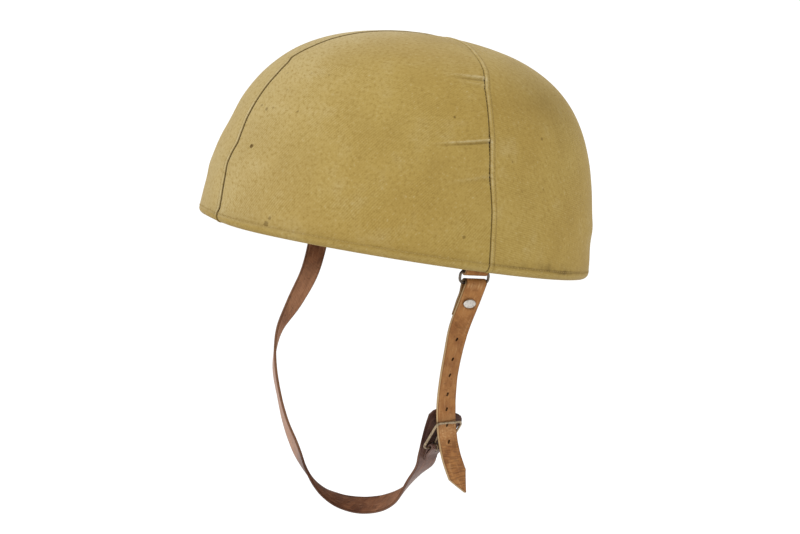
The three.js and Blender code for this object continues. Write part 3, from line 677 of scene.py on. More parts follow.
def beside_seams(panel, row, column):
    """Rise of the cloth from both of a panel's seams, the dirt and painted shade along them, and painted
    highlights on welts and knots.
    """
    kind, value = row
    angle, to_first, to_last, width = column
    calm = min(1.0, width / (14 * MM))
    rise, grime_and_shade, fade_and_highlight = 0.0, 0.0, 0.0
    sides = ((to_first, panel["welts"][0], panel["from"]), (to_last, panel["welts"][1], panel["to"]))
    for gap, welt, name in sides:
        seam_look = SEAM_DEPTH_AND_DARKENING[name]
        thinned = 1 - 0.75 * step_up(value if kind == "wall" else 0, seam_look["thins"], seam_look["thins"] + 0.15)
        rise += seam_rise(gap, welt, seam_look["tight"] * mix(1, thinned, 0.5)) * calm
        # dirt and painted shade in the seam's gap
        grime_and_shade += seam_look["dark"] * thinned * (1 - step_up(gap, 0.15 * MM, seam_look["width"] * MM))
        if name == "left" and kind == "wall":
            knot = pucker_knot(gap, dome_point(angle, value).z - RIM_Z)
            # a raised knot where each pucker starts, with a painted highlight on it
            rise += 0.5 * MM * knot
            fade_and_highlight += 0.8 * knot
        if welt:
            # painted highlight along the welt's ridge
            patchy = 0.35 + 0.5 * noise.noise(Vector((value * 14, 3, 0))) + 0.2 * step_up(value, 0.7, 0.85)
            fade_and_highlight += max(patchy, 0.1) * bell(gap, 1.2 * MM, 0.7 * MM)
            # painted shade in the groove of the stitch row
            grime_and_shade += 0.4 * bell(gap, TOPSTITCH, 0.4 * MM)
    return rise, grime_and_shade, fade_and_highlight


# %% What the hem, hands and weather do to the cloth, and where shade and highlights are painted on it


def hem_line(panel, point, angle, height):
    """Rise along the row of hem stitches, and dirt with painted shade in its groove."""
    over = height - HEM_STITCH
    worn = 0.5 + 0.5 * noise.noise(point / (24 * MM))
    crisp = 0.45 if panel["side"] == PUCKERED_SIDE else 1.0
    rise = 0.15 * MM * (1 - step_up(over, -0.4 * MM, 0.6 * MM))
    rise -= crisp * mix(0.06, 0.25, worn) * MM * bell(over, 0, 0.5 * MM)
    # dirt and painted shade along the hem's groove
    dirt = mix(0.05, 0.25, worn) + 0.3 * bell(angle, 0.3, 0.35)
    return rise, crisp * dirt * bell(over, 0.2 * MM, 0.8 * MM)


def soiling_and_shade(point, angle, height):
    """Smudges at the rim behind the left ear, painted shade of a shallow hollow high above them, and darker
    towards the rim.
    """
    smudges = max(noise.noise(point / (5 * MM)) + 0.25, 0)
    grime_and_shade = 1.2 * smudges * bell(angle, 0.36, 0.2) * bell(height, 4 * MM, 4.5 * MM)
    # painted shade of a shallow hollow in the cloth
    grime_and_shade += 0.27 * bell(math.degrees(angle), 26, 20) * bell(height, 112 * MM, 18 * MM)
    # darker towards the rim
    return grime_and_shade + 0.15 * bell(height, 3 * MM, 6 * MM)


def fading_and_highlight(angle, height):
    """Paler over the face and at the crown: faded cloth, with a painted highlight where the light falls."""
    return 0.45 * bell(math.degrees(angle) % 360, 265, 32) + 0.22 * step_up(height, 112 * MM, 140 * MM)


# %% The rule that lays one point
INSIDE_GRIME = 0.3


def lay_point(panel, row, column, distance):
    """Place of a grid point, with its dirt and painted shade, and its fading and painted highlights."""
    kind, value = row
    angle, to_first, to_last, width = column
    if kind == "inside":
        return wall_point(angle, value, 2 * RIM_RADIUS), INSIDE_GRIME, 0.0
    seam, grime_and_shade, fade_and_highlight = beside_seams(panel, row, column)
    if kind == "rim":
        proud = seam * max(math.cos(value / 2), 0) + 0.15 * MM
        worn_edge = 0.22 * bell(value, 1.3, 0.8)
        return rim_point(angle, RIM_RADIUS + proud, value, RIM_RADIUS), grime_and_shade * 0.8 + worn_edge, 0.1
    point, _, out = dome_frame(angle, value)
    height = point.z - RIM_Z
    hem, hem_grime_and_shade = hem_line(panel, point, angle, height)
    calm = min(1.0, width / (14 * MM), step_up(height, 6 * MM, 16 * MM) + 0.15)
    rise = seam + hem + unevenness(point, angle, height) * calm
    grime_and_shade += hem_grime_and_shade + soiling_and_shade(point, angle, height)
    fade_and_highlight += fading_and_highlight(angle, height)
    if panel["side"] == PUCKERED_SIDE:
        pulled, dark, pale = pucker(angle, value, height)
        rise += pulled
        # painted shade in the pucker creases and a painted highlight on their ridges
        grime_and_shade += 0.8 * dark
        fade_and_highlight += pale
    ripple = math.sin(distance / (1.4 * MM)) * math.exp(-min(to_first, to_last) / (5 * MM))
    rise += 0.05 * MM * ripple * noise.noise(point / (18 * MM))
    return point + out * rise, min(grime_and_shade, 1.0), fade_and_highlight


# %% Write values for each vertex, and the flat cut as the UV map


def note(mesh, name, values):
    """Keeps one number for each vertex, for the finish to read."""
    mesh.attributes.new(name, "FLOAT", "POINT").data.foreach_set("value", values)


def keep_cut(mesh, flat):
    """Makes each vertex's place on the uncut cloth or hide its place on the UV map, in metres."""
    while mesh.uv_layers:
        mesh.uv_layers.remove(mesh.uv_layers[0])
    layer = mesh.uv_layers.new(name="cut")
    for loop in mesh.loops:
        layer.data[loop.index].uv = flat[loop.vertex_index]


# %% Lay a whole panel


def lay_panel(panel):
    rows = panel_rows(grid_of(panel))
    levels = [value if kind == "wall" else RIM_LEVEL for kind, value in rows]
    plans = {level: panel_columns(panel, level) for level in set(levels)}
    columns = len(plans[RIM_LEVEL])
    middle = columns // 2
    centre_line = [lay_point(panel, row, plans[level][middle], 0)[0] for row, level in zip(rows, levels)]
    lengths = [0.0]
    for before, after in zip(centre_line, centre_line[1:]):
        lengths.append(lengths[-1] + (after - before).length)
    cloth = start_with(
        bpy.ops.mesh.primitive_grid_add,
        x_subdivisions=columns - 1,
        y_subdivisions=len(rows) - 1,
        size=1,
    )
    mesh = cloth.data
    grime_and_shade, fade_and_highlight, cut = [], [], []
    for vertex in mesh.vertices:
        i = round((vertex.co.x + 0.5) * (columns - 1))
        j = round((vertex.co.y + 0.5) * (len(rows) - 1))
        column = plans[levels[j]][i]
        place, dirt, pale = lay_point(panel, rows[j], column, lengths[j])
        vertex.co = centre_line[-1] if j == len(rows) - 1 else place
        grime_and_shade.append(dirt)
        fade_and_highlight.append(pale)
        flat = Vector(((column[1] - column[2]) / 2, lengths[j]))
        cut.append(Matrix.Rotation(math.radians(panel["grain"]), 2) @ flat)
    note(mesh, "grime_and_shade", grime_and_shade)
    note(mesh, "fade_and_highlight", fade_and_highlight)
    keep_cut(mesh, cut)
    choose(cloth, lambda place: True)
    bpy.ops.mesh.remove_doubles(threshold=0.002 * MM)
    leave()
    modify(cloth, "SOLIDIFY", thickness=CLOTH, offset=-1)
    name = "canvas_" + panel["side"]
    hand_over(cloth, name, canvas, ["cover_" + panel["side"]], math.radians(60))


for panel in PANELS:
    lay_panel(panel)

# %% [markdown]
# ## The shell
# Under the canvas is a hard shell, pressed from layers of fibre. Only its inside can be seen, from
# below. It is one closed wall: over the outside, round the rim and back up the inside. A grid gives
# the rows and columns, its two side edges are welded into one, and its ends shrink into the crown.

# %% Shell: the finish


def make_fibre():
    material, tree, shader = start_material("pressed_fibre", roughness=0.6, specular=0.35)
    place = object_place(tree)
    layers = stretched(tree, place, (1, 1, 0.45))
    flakes = speckle(tree, layers, 4 * MM, detail=5, roughness=0.7, distortion=1.2)
    stains = speckle(tree, place, 45 * MM, detail=4, roughness=0.6)
    threads = speckle(tree, stretched(tree, place, (0.3, 0.3, 1)), 0.9 * MM, detail=3)
    flaky = fade_between(tree, flakes, 0.4, 0.62)
    body = blend_colour(tree, flaky, colour(128, 104, 64), colour(103, 80, 47))
    body = blend_colour(tree, fade_between(tree, stains, 0.52, 0.72), body, colour(84, 62, 38))
    height = plus(tree, flakes, times(tree, threads, 0.3))
    gloss = ranged(tree, stains, 0.5, 0.75)
    coat(tree, shader, body, raised(tree, height, 0.5, 0.4 * MM), Roughness=gloss)
    return material


fibre = make_fibre()

# %% Shell: bend a grid into the wall
SHELL_COLUMNS = 128
WALL_STEPS = 60  # from the crown to the rim, on each side of the wall
RIM_STEPS = 14
TOP_LEVEL = 0.999  # the wall's last row before it closes in the crown


def shell_place(angle, step):
    """Place at one step of the way over the outside, round the rim and up the inside."""
    past_wall = step - WALL_STEPS
    if past_wall < 0:
        return wall_point(angle, mix(TOP_LEVEL, RIM_LEVEL, step / WALL_STEPS), SHELL_OUTSIDE)
    if past_wall <= RIM_STEPS:
        return rim_point(angle, SHELL_WALL / 2, math.pi * past_wall / RIM_STEPS, RIM_RADIUS)
    share = (past_wall - RIM_STEPS) / WALL_STEPS
    return wall_point(angle, mix(RIM_LEVEL, TOP_LEVEL, share), SHELL_INSIDE)


def build_shell():
    steps = 2 * WALL_STEPS + RIM_STEPS
    shell = start_with(
        bpy.ops.mesh.primitive_grid_add,
        x_subdivisions=SHELL_COLUMNS,
        y_subdivisions=steps,
        size=1,
    )
    for vertex in shell.data.vertices:
        angle = (vertex.co.x + 0.5) * 2 * math.pi
        step = round((vertex.co.y + 0.5) * steps)
        place = shell_place(angle, step)
        closed = step in (0, steps)
        vertex.co = Vector((0, CROWN_SET_BACK, place.z)) if closed else place
    return weld(shell)


shell = build_shell()
inside_top = min(vertex.co.length for vertex in shell.data.vertices)
print("shell inside top at", round(inside_top / MM, 2), "mm from the origin")

# %% [markdown]
# ## Straps: routes
# A strap follows a route. Each row of its table is a place on the strap's middle line, with how far the
# strap has turned about its own line there. A smooth curve through the rows gives the sections between.
# Places are in millimetres, with x and y as in the frame and z counted up from the helmet's rim.

# %% Routes of the two straps
STRAP_WIDTH = 16 * MM
SHORT_ROUTE = [
    # x, y, z, then turn and skew in degrees, and width in millimetres
    (100.5, -4.5, -8.6, 0, 18, 16),
    (100.5, -7.8, -22, -4, 3, 16),
    (100.5, -11.6, -38, -6, 0, 16),
    (100.3, -12.5, -54, -13, 0, 16),
    (99.5, -11.9, -71, -15, 0, 16),
    (98.7, -9.4, -88, -12, 0, 16),
    (98.5, -5.2, -104, -12, 0, 16),
    (99.8, -0.2, -118, -11, 0, 16),
    (102.2, 5.7, -130, -9, 0, 16),
    (105.6, 13.1, -142.2, -8, 0, 16),
]
LONG_ROUTE = [
    (-100.7, 1.5, 27, 0, 0, 16),
    (-100.5, 2.5, 9, 0, 0, 16),
    (-100.8, 4, -11, -3, 0, 16),
    (-101.6, 2, -34, -8, 0, 16),
    (-102.5, -5.5, -56, -20, 0, 16),
    (-102, -14.3, -77, -47, 0, 16),
    (-96, -17.5, -98, -61, 0, 16),
    (-84.5, -17, -118, -60, 0, 16),
    (-70, -15.5, -137.5, -62, 0, 16),
    (-52.5, -13.5, -153.5, -62, 0, 16),
    (-32.5, -11.5, -167, -36, 0, 16),
    (-9.5, -9.2, -173, 4, 0, 16),
    (14.5, -7, -172.7, 34, 0, 16),
    (38, -5, -167, 48, 0, 16),
    (58.5, -4.5, -156.5, 48, 0, 16),
    (74, -5.6, -139.8, 29, 0, 16),
    (81.9, -5, -130, 15, 0, 16.3),
    (85.5, -6.8, -121, 14, 0, 17.5),
    (90.6, -5.8, -106, 8, 0, 25),
    (93.4, -2.6, -92, 4, 0, 30),
]

# %% Smooth sections along a route


def smooth_rows(rows, between):
    """A Catmull-Rom curve through every column of the table."""
    run = []
    for i in range(len(rows) - 1):
        four = [rows[min(max(k, 0), len(rows) - 1)] for k in (i - 1, i, i + 1, i + 2)]
        for step in range(between):
            t = step / between
            row = []
            for a, b, c, d in zip(*four):
                bend = (2 * a - 5 * b + 4 * c - d) * t**2 + (3 * b - a - 3 * c + d) * t**3
                row.append(0.5 * (2 * b + (c - a) * t + bend))
            run.append(row)
    return run + [rows[-1]]


def over_rim(x, y, z):
    """A place in millimetres, with z counted up from the rim."""
    return Vector((x * MM, y * MM, RIM_Z + z * MM))


def section(centre, across, face, width):
    return {"centre": centre, "across": across, "face": face, "width": width}


def measured(sections):
    """Sets each section's length from the first."""
    length = 0.0
    for before, after in zip([sections[0]] + sections, sections):
        length += (after["centre"] - before["centre"]).length
        after["from"] = length
    return sections


def route_sections(route):
    rows = smooth_rows(route, 8)
    centres = [over_rim(*row[:3]) for row in rows]
    sections = []
    for i, (_, _, _, turn, skew, width) in enumerate(rows):
        along = (centres[min(i + 1, len(rows) - 1)] - centres[max(i - 1, 0)]).normalized()
        level = Vector((0, 1, 0)) - along * along.y
        across = Matrix.Rotation(math.radians(turn), 3, along) @ level.normalized()
        face = along.cross(across).normalized()
        across = Matrix.Rotation(math.radians(skew), 3, face) @ across
        sections.append(section(centres[i], across, face, width * MM))
    return measured(sections)


short_front = route_sections(SHORT_ROUTE)
long_run = route_sections(LONG_ROUTE)
reach = [round(run[-1]["from"] / MM) for run in (short_front, long_run)]
print("short strap:", reach[0], "mm from the ring; long strap:", reach[1], "mm")

# %% One section anywhere on a run, and the sections of a fold


def section_at(sections, length):
    for a, b in zip(sections, sections[1:]):
        if length <= b["from"]:
            break
    share = (length - a["from"]) / max(b["from"] - a["from"], 1e-9)
    share = min(max(share, 0), 1)
    across, face = (a[name].lerp(b[name], share).normalized() for name in ("across", "face"))
    return section(a["centre"].lerp(b["centre"], share), across, face, mix(a["width"], b["width"], share))


def fold_over(bar, direction, out, radius, width):
    """Sections of leather that turns half round a bar, from behind it to its front."""
    over = out.cross(direction).normalized()
    steps = 12
    sections = []
    for i in range(steps + 1):
        angle = math.pi * (1 - i / steps)
        face = out * math.cos(angle) + over * math.sin(angle)
        sections.append(section(bar + face * radius, direction.copy(), face, width))
    return sections


# %% [markdown]
# ## Straps: cut flat, then lay along the route
# A strap is made as it is in a workshop: cut flat to its outline, thickened, its edges rounded and its
# holes punched. While it is flat, its own length and width become its UV map, in metres. Attributes
# note which side each point is on, how near it is to the cut edge, how it has worn, and where shade and
# sheen are painted on. Last, every point moves to its route.

# %% Cut, thicken and punch a strap


def cut_strap(length, width_at, cell):
    """A flat strip from y = 0 to its length, as wide at each y as asked."""
    strip = start_with(
        bpy.ops.mesh.primitive_grid_add,
        x_subdivisions=14,
        y_subdivisions=round(length / cell),
        size=1,
    )
    for vertex in strip.data.vertices:
        y = (vertex.co.y + 0.5) * length
        vertex.co = Vector((vertex.co.x * width_at(y), y, 0))
    return strip


def slice_off(strip, corner, outward):
    """Cuts away what lies past a line through the corner."""
    choose(strip, lambda place: True)
    bpy.ops.mesh.bisect(plane_co=corner, plane_no=outward, clear_outer=True, threshold=1e-7)
    leave()


def thicken(strip, thickness, rounding):
    modify(strip, "SOLIDIFY", thickness=thickness, offset=0)
    modify(strip, "BEVEL", width=rounding, segments=3, limit_method="ANGLE", angle_limit=math.radians(50))


def join(pieces):
    """Joins pieces into the first of them, with its place in its mesh."""
    only(pieces[0])
    for piece in pieces:
        piece.select_set(True)
    bpy.ops.object.join()
    bpy.ops.object.transform_apply(location=True, rotation=True, scale=True)
    return bpy.context.object


def punch(piece, cutters):
    """Cuts holes with solids, each placed and shaped already, all at once."""
    cutter = join(cutters)
    modify(piece, "BOOLEAN", operation="DIFFERENCE", solver="EXACT", object=cutter)
    bpy.data.objects.remove(cutter, do_unlink=True)


def oval_cutter(x, y, width, length, slant=0.0):
    bpy.ops.mesh.primitive_cylinder_add(vertices=24, radius=0.5, depth=12 * MM, location=(x, y, 0))
    bpy.ops.transform.resize(value=(width, length, 1))
    bpy.ops.transform.rotate(value=slant, orient_axis="Z", center_override=(x, y, 0))
    return bpy.context.object


# %% Lay a flat strap along its sections
WEAR_AND_LIGHT = ("edge", "soil_and_shade", "bend", "scuff_and_highlight")


def lay_strap(strip, sections, wear_and_light_at, relief=None):
    """For each flat place, the function it is given tells how near the cut edge is, and the dirt with painted
    shade, the wrinkles, and the scuffs with painted highlights there.
    """
    mesh = strip.data
    keep_cut(mesh, [vertex.co.xy for vertex in mesh.vertices])
    half = max(vertex.co.z for vertex in mesh.vertices)
    note(mesh, "side", [vertex.co.z / half for vertex in mesh.vertices])
    worn = [wear_and_light_at(vertex.co.x, vertex.co.y) for vertex in mesh.vertices]
    for name, values in zip(WEAR_AND_LIGHT, zip(*worn)):
        note(mesh, name, values)
    for vertex in mesh.vertices:
        x, y, z = vertex.co
        if relief:
            z += relief(x, y, z)
        place = section_at(sections, y)
        vertex.co = place["centre"] + place["across"] * x + place["face"] * z
    weld(strip, 0.001 * MM)


# %% [markdown]
# ## Leather
# The straps are vegetable-tanned leather, worn smooth and dry. The grain side is closed and a little
# shiny, with fine wrinkles where it bends. A cut edge shows the raw inside of the hide, which is paler.
# The long strap's inner side is rich brown and matt, and its outer side has a greyish, polished bloom.

# %% Leather: the hide on both sides, its wrinkles, and its cut edge
CRINKLE_SLANT = math.radians(20)


def hide_colour(tree, uv, inner, tones):
    """Cloudy on both sides, each in its own tones."""
    cloudy = fade_between(tree, speckle(tree, uv, 9 * MM, detail=4, roughness=0.6), 0.35, 0.7)
    outer_tone = blend_colour(tree, cloudy, tones["outer"], tones["outer_dark"])
    inner_tone = blend_colour(tree, cloudy, tones["inner"], tones["inner_dark"])
    return blend_colour(tree, inner, outer_tone, inner_tone)


def crinkle(tree, uv, bend):
    """Sharp slanting wrinkles, as deep as the leather there is bent."""
    turned = {"Vector": uv, "Rotation": (0, 0, -CRINKLE_SLANT)}
    slanted = add_node(tree, "ShaderNodeMapping", turned).outputs[0]
    crinkles = speckle(tree, stretched(tree, slanted, (0.14, 1, 1)), 1.1 * MM, detail=1, distortion=0.25)
    return times(tree, fade_between(tree, crinkles, 0.56, 0.42), bend)


def show_edge(tree, body, edge, side, raw_share, tones):
    """The cut edge: raw in the middle of its thickness, burnished dark along both its corners."""
    cut = fade_between(tree, edge, 0.25, 0.75)
    core = fade_between(tree, math_node(tree, "ABSOLUTE", side), 0.85, 0.55)
    body = blend_colour(tree, times(tree, times(tree, cut, core), raw_share), body, tones["raw"])
    rubbed = times(tree, cut, math_node(tree, "SUBTRACT", 1.0, core))
    return blend_colour(tree, times(tree, rubbed, 0.35), body, tones["crack"])


# %% Leather: the finish


def make_leather(name, tones, grain, raw_share, outer_gloss, inner_gloss):
    """The gloss of a side is its roughness and its specular level."""
    material, tree, shader = start_material(name, roughness=0.6)
    uv, side = cut_map(tree), attribute(tree, "side")
    edge, soil_and_shade, bend, scuff_and_highlight = (attribute(tree, kind) for kind in WEAR_AND_LIGHT)
    inner = fade_between(tree, side, -0.6, 0.6)
    streaks = speckle(tree, stretched(tree, uv, (1, 0.12, 1)), 1.6 * MM, detail=3, roughness=0.6)
    creased = stretched(tree, uv, (0.35, 1, 1))
    wrinkles = speckle(tree, creased, 1.3 * MM, detail=3, roughness=0.6, distortion=0.8)
    crinkles = crinkle(tree, uv, bend)

    body = hide_colour(tree, uv, inner, tones)
    streaky = times(tree, fade_between(tree, streaks, 0.5, 0.75), 0.45)
    # pale streaks, scuffs and dust, with painted highlights and painted sheen among them
    body = blend_colour(tree, plus(tree, streaky, scuff_and_highlight, clamp=True), body, tones["streak"])
    cracks = times(tree, fade_between(tree, wrinkles, 0.42, 0.3), 0.4)
    cracks = plus(tree, cracks, times(tree, crinkles, 0.45), clamp=True)
    body = blend_colour(tree, cracks, body, tones["crack"])
    body = show_edge(tree, body, edge, side, raw_share, tones)
    # dirt and painted shade darken the hide
    body = blend_colour(tree, soil_and_shade, body, tones["soil_and_shade"])

    cells = {"Vector": uv, "Scale": 1 / grain}
    pores = add_node(tree, "ShaderNodeTexVoronoi", cells, feature="F1").outputs["Distance"]
    height = math_node(tree, "MULTIPLY_ADD", pores, 0.7, times(tree, wrinkles, 1.3))
    height = math_node(tree, "SUBTRACT", height, times(tree, crinkles, 1.6))
    smooth = ranged(tree, inner, outer_gloss[0] - 0.12, inner_gloss[0] - 0.12)
    rough = math_node(tree, "MULTIPLY_ADD", streaks, 0.24, smooth)
    # the shine drops under dirt and painted shade alike
    clean_and_lit = math_node(tree, "SUBTRACT", 1.0, soil_and_shade)
    shine = times(tree, ranged(tree, inner, outer_gloss[1], inner_gloss[1]), clean_and_lit)
    normal = raised(tree, height, 0.6, 0.16 * MM)
    coat(tree, shader, body, normal, Roughness=rough, Specular_IOR_Level=shine)
    return material


TAN = {
    "outer": colour(141, 96, 51),
    "outer_dark": colour(128, 83, 42),
    "inner": colour(148, 101, 55),
    "inner_dark": colour(126, 80, 40),
    "streak": colour(180, 140, 96),
    "crack": colour(88, 53, 26),
    "raw": colour(166, 142, 104),
    "soil_and_shade": colour(38, 22, 12),
}
BROWN = {
    "outer": colour(112, 84, 74),
    "outer_dark": colour(88, 60, 50),
    "inner": colour(112, 70, 44),
    "inner_dark": colour(80, 46, 27),
    "streak": colour(161, 115, 84),
    "crack": colour(46, 26, 17),
    "raw": colour(104, 72, 50),
    "soil_and_shade": colour(36, 14, 8),
}
tan_leather = make_leather("tan_leather", TAN, 0.9 * MM, 0.85, (0.62, 0.15), (0.62, 0.15))
brown_leather = make_leather("brown_leather", BROWN, 0.7 * MM, 0.5, (0.5, 0.35), (0.75, 0.1))
print("leathers made")

# %% [markdown]
# ## The short strap
# The tan strap folds over the ring, and an oval rivet holds both layers. It has seven slanted holes and
# ends in a point. The back layer lies behind the front one, opened a little by the ring at the fold.

# %% Short strap: sections from behind the ring to the point
# The ring's middle, the heights of its two bars from the rim, and its sizes, all in millimetres.
RING = {"x": 98.2, "y": -5.2, "upper": -1.2, "lower": -8.6, "across": 22.2, "wire": 1.8, "corner": 3}
RING_TILT = 4  # degrees
GAP = 0.3 * MM
SHORT_THICKNESS = 1.8 * MM
BACK_LAYER = 25 * MM
RIVET_AT = 13.5 * MM  # from the ring, down the front layer
short_fold = RING["wire"] * MM / 2 + GAP + SHORT_THICKNESS / 2


def short_sections():
    back = []
    for front in short_front:
        if front["from"] <= BACK_LAYER:
            pinched = min(front["from"] / (8 * MM), 1)
            behind = mix(2 * short_fold, SHORT_THICKNESS + GAP, pinched)
            centre = front["centre"] - front["face"] * behind
            back.append(section(centre, front["across"], -front["face"], front["width"]))
    top = short_front[0]
    bar = top["centre"] - top["face"] * short_fold
    over = fold_over(bar, top["across"], top["face"], short_fold, STRAP_WIDTH)[1:-1]
    return measured(back[::-1] + over + [dict(front) for front in short_front])


short_run = short_sections()
ring_at = short_run[-1]["from"] - short_front[-1]["from"]  # where the front layer starts
short_length = short_run[-1]["from"]
print("short strap cut to", round(short_length / MM), "x 16 mm")

# %% Short strap: where it is worn, soiled and painted with shade and highlights
HOLE_PLACES = [37.5, 50.3, 60.7, 73.2, 83.0, 93.4, 104.6]  # millimetres from the ring
HOLE_SLANT = math.radians(-36)
POINT = 13 * MM


def around_hole(across, along):
    """How far a place is from a hole's middle, where 1 is about its edge."""
    long_way = (along * math.cos(HOLE_SLANT) + across * math.sin(HOLE_SLANT)) / 1.25
    short_way = (along * math.sin(HOLE_SLANT) - across * math.cos(HOLE_SLANT)) / 0.7
    return math.hypot(long_way, short_way)


def short_soil_and_shade(front, across, edge):
    """Painted shade at the fold, on the back layer's edges, in and round the holes and round the rivet, a
    painted shadow line above the buckle's top bar, a faint darkening along the middle, and a dark scuffed arc
    below the rivet.
    """
    # painted shade at the fold, darkest at its edges
    soil_and_shade = 0.6 * bell(front, -1.5, 3) * (0.3 + edge)
    # painted shade on the back layer's edges, and faintly darker along the middle
    soil_and_shade += 0.35 * edge * (1 - step_up(front, -4, 0)) + 0.1 * bell(front, 50, 24)
    # painted shade in and round the holes
    soil_and_shade += sum(1 - step_up(around_hole(across, front - place), 1.0, 1.35) for place in HOLE_PLACES)
    from_rivet = math.hypot(across / 5.0, (front - RIVET_AT / MM) / 3.2)
    # painted shadow round the rivet's head
    soil_and_shade += 0.7 * bell(from_rivet, 1.0, 0.14)
    # painted shadow of the buckle's top bar
    soil_and_shade += 0.75 * bell(front - 0.12 * across, 91.0, 0.6)
    arc = math.hypot(across + 1, front - 25) - 5
    return soil_and_shade + 0.3 * bell(arc, 0, 0.5) * step_up(front, 27, 29)


def short_scuff_and_highlight(front, across):
    """Painted highlights on the creases over the fold, a rubbed stretch above the buckle, and a pebbled one
    beside it.
    """
    # painted highlights on the creases where the strap bends over the ring
    streaks = sum(bell(across, place, 0.6) for place in (-5.8, -3.3, -0.6, 2, 4.3))
    scuff_and_highlight = 0.8 * streaks * bell(front, 1.8, 1.7)
    scuff_and_highlight += 0.15 * step_up(front, 84, 90) * (1 - step_up(front, 98, 104))
    pebbles = max(noise.noise(Vector((across / 0.8, front / 0.8, 5))), 0)
    return scuff_and_highlight + 1.1 * pebbles * bell(front, 98, 7)


def short_wear_and_light(x, y):
    front, across = (y - ring_at) / MM, x / MM
    half = STRAP_WIDTH / MM / 2
    from_tip = (short_length - y) * half / POINT - abs(across)
    edge = 1 - step_up(min(half - abs(across), from_tip, y / MM), 0.25, 0.85)
    bend = step_up(front, 100, 108) + 0.5 * bell(front, 30, 8)
    return edge, min(short_soil_and_shade(front, across, edge), 1.0), bend, min(short_scuff_and_highlight(front, across), 1.0)


# %% Short strap: low relief, and the piece
RIVET_BORE = 3.2 * MM


def short_relief(x, y, z):
    """Lengthways creases at the fold, a dished hole row, and a thinned end of the back layer."""
    front = (y - ring_at) / MM
    across = x / MM
    rise = 0.0
    if z > 0 and y < 10 * MM:
        rise -= (z / MM) * mix(1.1, 0, y / (10 * MM))
    elif z > 0:
        crease = bell(front, 1, 4)
        rise -= 0.25 * crease * sum(bell(across, place, 0.5) for place in (-4.6, -2, 0.8, 3.2, 5.4))
        rise -= 0.16 * sum(bell(front, place, 2.4) * bell(across, 0, 1.9) for place in HOLE_PLACES)
        rise += 0.12 * noise.noise(Vector((across / 6, front / 5, 0)))
    return rise * MM


strap = cut_strap(short_length, lambda y: STRAP_WIDTH, 0.8 * MM)
for sign in (-1, 1):
    slice_off(strap, (0, short_length - 0.2 * MM, 0), Vector((sign * POINT, STRAP_WIDTH / 2, 0)))
thicken(strap, SHORT_THICKNESS, 0.45 * MM)
holes = [oval_cutter(0, ring_at + place * MM, 1.6 * MM, 2.4 * MM, HOLE_SLANT) for place in HOLE_PLACES]
bores = [oval_cutter(0, at, RIVET_BORE, RIVET_BORE) for at in (ring_at + RIVET_AT, BACK_LAYER - RIVET_AT)]
punch(strap, holes + bores)
lay_strap(strap, short_run, short_wear_and_light, short_relief)
hand_over(strap, "tan_strap", tan_leather, ["strap_short"])

# %% [markdown]
# ## The long strap
# The dark strap starts inside the rim on the wearer's right, twists one way and then the other on its
# way under the chin, and widens behind the buckle into a flat end with rounded corners.

# %% Long strap: where it is worn, soiled and painted with shade and sheen
LONG_THICKNESS = 1.8 * MM
long_length = long_run[-1]["from"]


def long_width(y):
    return section_at(long_run, y)["width"]


def long_dust_and_sheen(along, x):
    """Dust where the inner face hangs free, less where the twist turns it into shade, a painted sheen on the
    outer face after the twist, and painted sheen again below the buckle.
    """
    # dust on the inner face, then painted sheen on the outer face after the twist
    dust_and_sheen = mix(0.9, 0.8, step_up(along, 105, 120)) * step_up(along, 46, 70)
    # held back where the twist lies in shade
    dust_and_sheen *= (1 - step_up(along, 196, 212)) * (1 - 0.6 * bell(along, 99, 9))
    # painted sheen on the outer face below the buckle
    dust_and_sheen += 0.35 * bell(along, 318, 18)
    return dust_and_sheen * (0.92 + 0.3 * noise.noise(Vector((x / MM / 3, along / 12, 8))))


def long_wear_and_light(x, y):
    near = min(long_width(y) / 2 - abs(x), y, long_length - y) / MM
    edge = 1 - step_up(near, 0.2, 0.7)
    along = y / MM
    # painted shade just under the rim, and a stretch under the chin made darker
    darker_stretches = 0.3 * step_up(along, 200, 215) * (1 - step_up(along, 265, 300)) + 0.2 * bell(along, 32, 8)
    from_end = long_length / MM - along
    shaded = 0.6 * bell(from_end, 21, 7) + 0.35 * (1 - step_up(from_end, 12, 22))
    shaded += 0.3 * step_up(x / MM, 3, 6) * (1 - step_up(from_end, 8, 18))
    scuff_and_highlight = min(max(long_dust_and_sheen(along, x), 0.0), 1.0)
    return edge, min(darker_stretches + shaded + 0.25 * edge, 0.85), 0.3, scuff_and_highlight


def long_relief(x, y, z):
    wavy = 0.1 * MM * noise.noise(Vector((x / (5 * MM), y / (9 * MM), 3)))
    return wavy if abs(z) > 0.5 * MM else 0.0


# %% Long strap: the piece
END_WIDTH = long_run[-1]["width"]
END_CORNERS = {-1: 12 * MM, 1: 6 * MM}
ANCHOR_HEIGHT = 19 * MM  # over the rim, where the rivets inside the shell go
strap = cut_strap(long_length, long_width, 1.2 * MM)
for sign, corner in END_CORNERS.items():
    for degrees in (11, 34, 56, 79):
        turn = math.radians(degrees)
        outward = Vector((sign * math.cos(turn), math.sin(turn), 0))
        middle = Vector((sign * (END_WIDTH / 2 - corner), long_length - corner, 0))
        slice_off(strap, middle + outward * corner, outward)
thicken(strap, LONG_THICKNESS, 0.4 * MM)
anchor_at = next(place for place in long_run if place["centre"].z <= RIM_Z + ANCHOR_HEIGHT)["from"]
punch(strap, [oval_cutter(0, anchor_at, 3.8 * MM, 3.8 * MM)])
lay_strap(strap, long_run, long_wear_and_light, long_relief)
hand_over(strap, "brown_strap", brown_leather, ["strap_long"])

# %% [markdown]
# ## Wire and rivets
# The ring is dark steel wire, bent to a rounded rectangle. The buckle is a brighter wire frame with a
# tongue that hooks round its lower bar. Metal with no dirt on it looks like plastic, so each finish
# mixes clean metal with dull stains.

# %% Metal: the finish


